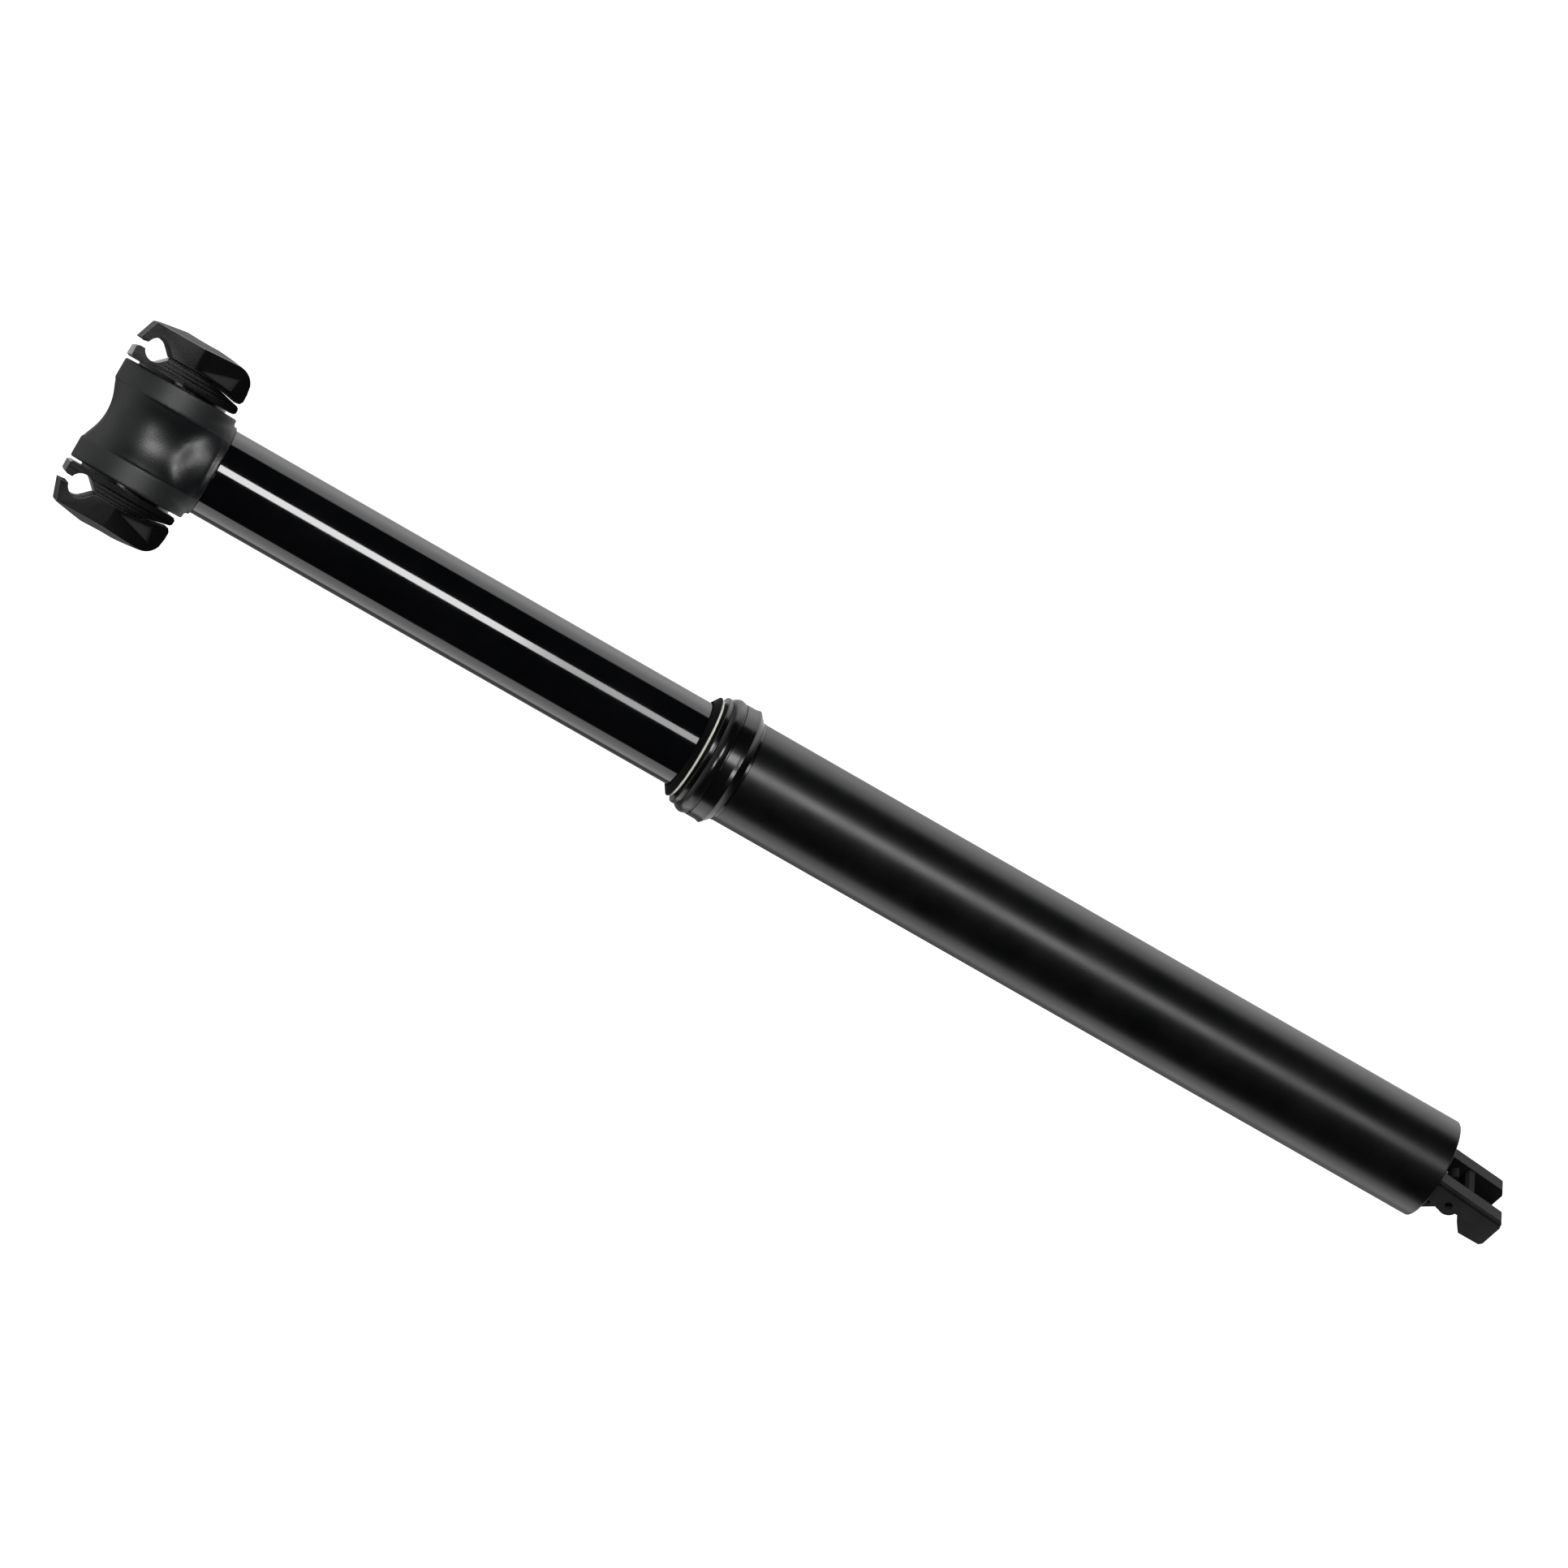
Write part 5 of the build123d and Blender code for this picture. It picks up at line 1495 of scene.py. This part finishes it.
@dataclass(frozen=True)
class ActuatorSizes:
    """Sizes of the actuator in millimetres, before it is turned about the post."""

    turn: float = -28.0
    plate_r: float = 12.6
    plate_top: float = -235.5
    plate_foot: float = -238.0
    inner: float = 6.0
    outer: float = 11.4
    pin_w: float = -2.1
    pin_z: float = -245.9
    pin_r: float = 1.2
    pin_half: float = 10.1
    lug_w: float = -4.4
    lug_z: float = -240.3
    bridge_front: float = 2.85
    bridge_depth: float = 4.3
    bridge_z: float = -251.5
    bridge_thick: float = 2.7
    bridge_edge: float = 0.9
    stop_w: float = -5.7
    stop_right: float = -2.85
    stop_left: float = -8.4
    stop_top: float = -253.4
    stop_foot: float = -261.3
    stop_bore: float = 2.05
    stop_bore_depth: float = 5.6
    wire_r: float = 0.9
    groove: float = 1.0
    groove_inset: float = 0.7
    groove_depth: float = 0.9
    slot: float = 1.3
    hub_r: float = 2.35
    lever_half: float = 5.6
    lobe_half: float = 2.4
    lobe_r: float = 2.1
    lobe_roll: float = 1.2
    tip_r: float = 2.3
    seat_r: float = 1.6
    nut_af: float = 10.0
    nut_height: float = 3.0
    nut_turn: float = -30.0
    dish_foot_r: float = 5.25
    dish_r: float = 5.9
    dish_foot: float = 3.2
    dish_edge: float = 2.6
    rod_bore_r: float = 3.02
    lug_bore_r: float = 0.55
    pin_edge: float = 0.25
    pin_fit: float = 0.02
    pin_gap: float = 0.05
    skin: float = 0.01
    joint: float = 0.5
    edge: float = 0.4
    nut_bevel: float = 0.15
    slot_reach: float = 5.0
    slot_drop: float = 4.0
    lobe_steps: int = 16
    lobe_start: float = 0.6
    lobe_sweep: float = 1.75
    front_top: float = 4.3
    front_foot: float = 2.1
    groove_foot: float = 25.7
    cheek_top: tuple[Corner, ...] = (Corner(4.3, -238.0), Corner(-7.1, -238.0), Corner(-7.1, -239.1))
    cheek_ear: tuple[Point, ...] = ((-4.132, -243.3), (-5.4, -245.9), (-3.4, -248.933))
    cheek_foot: tuple[Corner, ...] = (
        Corner(-3.4, -250.9), Corner(-5.4, -250.9), Corner(-8.4, -253.2, 0.3), Corner(-8.4, -260.35, 0.3),
        Corner(-7.45, -261.3, 0.3), Corner(0.475, -262.7, 0.9), Corner(2.1, -261.75, 0.9))


class Actuator(SubAssembly):
    """The cast cheeks with the housing stop, the cam lever on its pin, and the thin rod nut."""

    sizes = ActuatorSizes()

    def build(self) -> None:
        """Model and place the actuator's pieces."""
        s = self.sizes
        self.place(self._turn(self._casting()), "actuator_body", "actuator_grey", angle=34.0)
        self.place(self._turn(self._lever()), "cam_lever", "actuator_grey", angle=34.0)
        pin = Bench.upright("lever_pin", Bench.rounded([
            Corner(0, -s.pin_half), Corner(s.pin_r, -s.pin_half, s.pin_edge),
            Corner(s.pin_r, s.pin_half, s.pin_edge), Corner(0, s.pin_half)]), steps=64)
        with Bench.editing(pin):
            bpy.ops.transform.rotate(value=math.pi / 2, orient_axis="Y", center_override=(0, 0, 0))
            bpy.ops.transform.translate(value=(0, s.pin_w * MM, s.pin_z * MM))
        self.place(self._turn(pin), "pivot_pin", "bolt_steel", "clamp_black")
        self.place(self._turn(self._nut(), s.nut_turn), "rod_nut", "bolt_steel")

    def _turn(self, piece: Piece, more: float = 0.0) -> Piece:
        """Turn a piece about the post, as the actuator is turned in the photograph.

        Args:
            piece: the piece.
            more: degrees that it is turned beyond that.

        Returns:
            The piece.
        """
        angle = -math.radians(self.sizes.turn + more)
        with Bench.editing(piece):
            bpy.ops.transform.rotate(value=angle, orient_axis="Z", center_override=(0, 0, 0))
        return piece

    @staticmethod
    def _upright(name: str, radius: float, low: float, high: float, w: float = 0.0,
                 sides: int = 64) -> Piece:
        """Add a round bar that runs up the post's direction, and return it."""
        return Bench.rod(name, radius, Vector((0, w, low)), Vector((0, w, high)), sides)

    @staticmethod
    def _along(radius: float, half: float, w: float, z: float, sides: int = 64) -> Piece:
        """Add a round bar along the lever pin's direction, and return it."""
        return Bench.rod("pin_tool", radius, Vector((-half, w, z)), Vector((half, w, z)), sides)

    def _nut(self) -> Piece:
        """Model the thin nut, dished at its foot.

        Returns:
            The nut.
        """
        s = self.sizes
        top = s.plate_foot
        nut = self._upright("thin_nut", s.nut_af / math.sqrt(3), top - s.nut_height, top, sides=6)
        dish = Bench.upright("dish_tool", [
            (0, top - s.dish_foot), (s.dish_foot_r, top - s.dish_foot), (s.dish_r, top - s.dish_edge),
            (s.dish_r, top + OVERRUN), (0, top + OVERRUN)], steps=96)
        Bench.combine(nut, [dish], "INTERSECT")
        bore = self._upright("bore_tool", s.rod_bore_r, top - 5 * OVERRUN, top + 2 * OVERRUN)
        Bench.combine(nut, [bore], "DIFFERENCE")
        Bench.bevel(nut, s.nut_bevel, segments=2)
        return nut

    def _cheek(self, side: int) -> Piece:
        """Model one cheek.

        Args:
            side: 1 or -1, the side of the post on which it stands.

        Returns:
            The cheek.
        """
        s = self.sizes
        ear = [Corner(w, z) for w, z in Bench.arc(*s.cheek_ear, steps=16)]
        line = Bench.rounded([*s.cheek_top, *ear, *s.cheek_foot])
        places = [Vector((side * s.inner, w, z)) * MM for w, z in line]
        return Bench.slab("cheek", places, Vector((side * (s.outer - s.inner) * MM, 0, 0)))

    def _cheek_groove(self, side: int) -> Piece:
        """Return the cutter of the groove behind a cheek's front edge.

        Args:
            side: 1 or -1, the cheek's side.

        Returns:
            The cutter.
        """
        s = self.sizes
        near = -s.joint - s.groove_inset
        far = near - s.groove
        top, foot = s.plate_foot - s.groove_inset, s.plate_foot - s.groove_foot
        line = [(s.front_top + near, top), (s.front_top + far, top), (s.front_foot + far, foot),
                (s.front_foot + near, foot)]
        places = [Vector((side * (s.outer - s.groove_depth), w, z)) * MM for w, z in line]
        return Bench.slab("groove_tool", places, Vector((side * 2 * OVERRUN * MM, 0, 0)))

    def _bridge(self) -> Piece:
        """Model the bridge between the cheeks, chamfered at its upper front edge.

        Returns:
            The bridge.
        """
        s = self.sizes
        low, front, edge = s.bridge_front - s.bridge_depth, s.bridge_front, s.bridge_edge
        top, half = s.bridge_z + s.bridge_thick, s.inner + s.joint
        line = [(low, s.bridge_z), (front, s.bridge_z), (front, top - edge), (front - edge, top), (low, top)]
        places = [Vector((-half, w, z)) * MM for w, z in line]
        return Bench.slab("bridge", places, Vector((2 * half * MM, 0, 0)))

    def _casting(self) -> Piece:
        """Model the casting: flange, cheeks, bridge and housing stop, with their bores.

        Returns:
            The casting.
        """
        s = self.sizes
        body = self._upright("actuator_casting", s.plate_r, s.plate_foot - s.skin, s.plate_top, sides=160)
        half, inset = s.inner + s.joint, 2 * s.skin
        stop = Bench.box("stop", Vector((-half, s.stop_left + inset, s.stop_foot + inset)),
                         Vector((half, s.stop_right, s.stop_top)))
        Bench.combine(body, [self._cheek(1), self._cheek(-1), self._bridge(), stop], "UNION")
        Bench.bevel(body, s.edge, segments=3)
        low, high, wide = s.stop_foot - OVERRUN, s.stop_top + OVERRUN, s.outer + OVERRUN
        stop_end = s.stop_foot + s.stop_bore_depth
        return Bench.combine(body, [
            self._upright("bore_tool", s.rod_bore_r, s.plate_foot - OVERRUN, s.plate_top + OVERRUN),
            self._along(s.pin_r + s.pin_fit, wide, s.pin_w, s.pin_z),
            self._along(s.lug_bore_r, wide, s.lug_w, s.lug_z, sides=32),
            self._upright("bore_tool", s.stop_bore, low, stop_end, s.stop_w),
            self._upright("bore_tool", s.wire_r, low, high, s.stop_w, sides=32),
            Bench.box("slot_tool", Vector((-s.slot / 2, s.stop_left - 2 * OVERRUN, low)),
                      Vector((s.slot / 2, s.stop_w, high))),
            self._cheek_groove(1),
            self._cheek_groove(-1),
        ], "DIFFERENCE")

    def _lobe(self) -> Piece:
        """Model the cam's lobe, an involute of the circle that its pull unrolls from.

        Returns:
            The lobe.
        """
        s = self.sizes
        curve = []
        for step in range(s.lobe_steps + 1):
            roll = s.lobe_start - s.lobe_sweep * step / s.lobe_steps
            pull = s.lobe_r * s.lobe_roll - s.lobe_r * roll
            curve.append((s.pin_w + s.lobe_r * math.cos(roll) - pull * math.sin(roll),
                          s.pin_z + s.lobe_r * math.sin(roll) + pull * math.cos(roll)))
        places = [Vector((-s.lobe_half, w, z)) * MM for w, z in curve + [(s.pin_w, s.pin_z)]]
        return Bench.slab("lobe", places, Vector((2 * s.lobe_half * MM, 0, 0)))

    def _lever(self) -> Piece:
        """Model the cam lever with its lobe, its arm and the slot for the cable.

        Returns:
            The lever.
        """
        s = self.sizes
        lever = self._along(s.hub_r, s.lever_half, s.pin_w, s.pin_z, sides=96)
        lever.name = "cable_lever"
        half = s.lever_half - 2 * s.skin
        arm = Bench.box("arm", Vector((-half, s.stop_w, s.pin_z - s.tip_r)),
                        Vector((half, s.pin_w, s.pin_z + s.tip_r)))
        tip = self._along(s.tip_r, s.lever_half - s.skin, s.stop_w, s.pin_z, sides=96)
        Bench.combine(lever, [arm, tip, self._lobe()], "UNION")
        wide = s.lever_half + OVERRUN
        return Bench.combine(lever, [
            self._along(s.pin_r + s.pin_gap, wide, s.pin_w, s.pin_z),
            self._along(s.seat_r, wide, s.stop_w, s.pin_z),
            Bench.box("slot_tool", Vector((-s.slot / 2, s.stop_w - s.slot_reach, s.pin_z - s.slot_drop)),
                      Vector((s.slot / 2, s.stop_w + s.slot / 2, s.pin_z))),
        ], "DIFFERENCE")


class Internals(SubAssembly):
    """The pieces that keep their CAD mesh, dressed with procedural finishes."""

    def build(self) -> None:
        """Give every CAD node its slot's finish."""
        for slot, nodes in SLOT_NODES.items():
            for node in nodes:
                mesh = self.frame["nodes"][node].data
                mesh.materials.clear()
                mesh.materials.append(self.shop.material(slot))
        self.log.info("%d nodes dressed", sum(len(nodes) for nodes in SLOT_NODES.values()))


@dataclass(frozen=True)
class CameraPose:
    """Where the camera stands, in metres and degrees, and how it is rolled."""

    target: tuple[float, float, float] = (0.0, 0.0035, -0.0132)
    distance: float = 1.906
    rise: float = 9.0
    up_cross: float = 0.86807
    up_post: float = 0.49644
    lens: float = 150.93
    sensor: float = 36.0
    near: float = 0.05
    far: float = 50.0


@dataclass(frozen=True)
class Surround:
    """How bright the surround is; a ramp holds where it begins, where it ends and the value at each."""

    right_edge: Ramp = (1.50, 1.56, 0.0, 2.1)
    right_fade: Ramp = (2.0, 2.8, 1.0, 0.3)
    left_edge: Ramp = (1.50, 1.56, 0.0, 1.9)
    left_fade: Ramp = (2.2, 2.4, 1.0, 0.1)
    level: Ramp = (0.22, 0.5, 1.0, 0.15)
    top: Ramp = (0.35, 0.9, 0.0, 0.6)
    low: Ramp = (-0.5, -0.14, 0.8, 0.0)
    behind: Ramp = (-0.3, 0.0, 1.0, 0.03)
    everywhere: float = 0.01


@dataclass(frozen=True)
class Panel:
    """An area light that faces the post: its centre and sizes in metres, its power in watts."""

    name: str
    place: tuple[float, float, float]
    width: float
    height: float
    power: float


PANELS = (
    Panel("strip_low", (1.44, 0.41, -0.08), 0.42, 1.06, 12.0),
    Panel("strip_high", (1.43, 0.41, 0.18), 0.42, 0.55, 7.2),
    Panel("brow", (1.45, -0.2, 0.52), 0.3, 0.34, 5.0),
)


class Studio:
    """Camera, lights, white surround and a floor that keeps the shadow."""

    AIM_TOP = 0.2
    FLOOR_SIZE = 40.0
    FLOOR_Z = -0.4
    FLOOR_TONE = 0.8
    FLOOR_ROUGHNESS = 0.9

    def __init__(self, pose: CameraPose, surround: Surround) -> None:
        """Keep the studio's settings.

        Args:
            pose: where the camera stands.
            surround: how bright the surround is.
        """
        self.pose = pose
        self.surround = surround
        self.scene = bpy.context.scene

    def build(self) -> None:
        """Set up everything that isn't part of the object."""
        self._camera()
        self._world()
        for panel in PANELS:
            self._light(panel)
        self._floor()
        self.scene.view_settings.view_transform = "Standard"
        self.scene.view_settings.look = "None"

    def _camera(self) -> None:
        """Place the camera from the photograph's measured view."""
        pose = self.pose
        rise = math.radians(pose.rise)
        back = Vector((math.cos(rise), 0, math.sin(rise)))
        lift = Vector((-math.sin(rise), 0, math.cos(rise)))
        cross = Vector((0, 1, 0))
        up = pose.up_cross * cross + pose.up_post * lift
        right = pose.up_post * cross - pose.up_cross * lift
        data = bpy.data.cameras.new("product_camera")
        data.lens = pose.lens
        data.sensor_width = pose.sensor
        data.clip_start = pose.near
        data.clip_end = pose.far
        camera = bpy.data.objects.new("product_camera", data)
        basis = Matrix((right, up, back)).transposed().to_4x4()
        camera.matrix_world = Matrix.Translation(Vector(pose.target) + back * pose.distance) @ basis
        self.scene.collection.objects.link(camera)
        self.scene.camera = camera

    def _world(self) -> None:
        """Make a surround that is white to the camera and has bright side bands in the reflections."""
        s = self.surround
        world = bpy.data.worlds.new("studio")
        self.scene.world = world
        world.use_nodes = True
        tree = world.node_tree
        x, y, z = Nodes.split(tree, tree.nodes.new("ShaderNodeTexCoord").outputs["Generated"])
        around = Nodes.maths(tree, "ARCTAN2", y, x)
        other = Nodes.maths(tree, "MULTIPLY", around, -1.0)
        bands = [
            Nodes.maths(tree, "MULTIPLY", Nodes.ramp(tree, turn, *edge), Nodes.ramp(tree, turn, *fade))
            for turn, edge, fade in ((around, s.right_edge, s.right_fade), (other, s.left_edge, s.left_fade))]
        level = Nodes.ramp(tree, Nodes.maths(tree, "ABSOLUTE", z), *s.level)
        sides = Nodes.maths(tree, "MULTIPLY", Nodes.maths(tree, "ADD", *bands), level)
        low = Nodes.maths(tree, "MULTIPLY", Nodes.ramp(tree, z, *s.low), Nodes.ramp(tree, x, *s.behind))
        under = Nodes.maths(tree, "ADD", low, s.everywhere)
        ends = Nodes.maths(tree, "ADD", Nodes.ramp(tree, z, *s.top), under)
        light = Nodes.maths(tree, "ADD", sides, ends)
        camera = tree.nodes.new("ShaderNodeLightPath").outputs["Is Camera Ray"]
        shade = tree.nodes["Background"]
        tree.links.new(Nodes.maths(tree, "MAXIMUM", light, camera), shade.inputs["Strength"])
        shade.inputs["Color"].default_value = (1, 1, 1, 1)

    def _light(self, panel: Panel) -> None:
        """Add an area light that faces the post.

        Args:
            panel: the light.
        """
        data = bpy.data.lights.new(panel.name, "AREA")
        data.shape = "RECTANGLE"
        data.size = panel.width
        data.size_y = panel.height
        data.energy = panel.power
        light = bpy.data.objects.new(panel.name, data)
        place = Vector(panel.place)
        aim = Vector((0, 0, min(place.z, self.AIM_TOP))) - place
        light.rotation_euler = aim.to_track_quat("-Z", "Y").to_euler()
        light.location = place
        self.scene.collection.objects.link(light)

    def _floor(self) -> None:
        """Lay a floor that is white to the camera, keeps the shadow and isn't seen in reflections."""
        floor = Bench.add("studio_floor", bpy.ops.mesh.primitive_plane_add, size=self.FLOOR_SIZE,
                          location=(0, 0, self.FLOOR_Z))
        bpy.ops.object.transform_apply(location=True)
        material = bpy.data.materials.new("floor_white")
        material.use_nodes = True
        tree = material.node_tree
        shader = tree.nodes["Principled BSDF"]
        shader.inputs["Base Color"].default_value = (self.FLOOR_TONE, self.FLOOR_TONE, self.FLOOR_TONE, 1)
        shader.inputs["Roughness"].default_value = self.FLOOR_ROUGHNESS
        shader.inputs["Specular IOR Level"].default_value = 0.0
        path = tree.nodes.new("ShaderNodeLightPath")
        glow = Nodes.maths(tree, "MULTIPLY", path.outputs["Is Camera Ray"], self.FLOOR_TONE)
        tree.links.new(glow, shader.inputs["Emission Strength"])
        shader.inputs["Emission Color"].default_value = (1, 1, 1, 1)
        clear = tree.nodes.new("ShaderNodeBsdfTransparent")
        choice = tree.nodes.new("ShaderNodeMixShader")
        tree.links.new(path.outputs["Is Glossy Ray"], choice.inputs["Fac"])
        tree.links.new(shader.outputs["BSDF"], choice.inputs[1])
        tree.links.new(clear.outputs["BSDF"], choice.inputs[2])
        tree.links.new(choice.outputs["Shader"], tree.nodes["Material Output"].inputs["Surface"])
        floor.data.materials.append(material)


def main() -> None:
    """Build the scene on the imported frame."""
    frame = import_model()
    shop = MaterialShop()
    Internals(frame, shop).build()
    for part in (PostTubes, SealStack, ForgedHead, SaddleClamp, ClampFastening, Actuator):
        part(frame, shop).build()
    Studio(CameraPose(), Surround()).build()


if __name__ == "__main__":
    main()
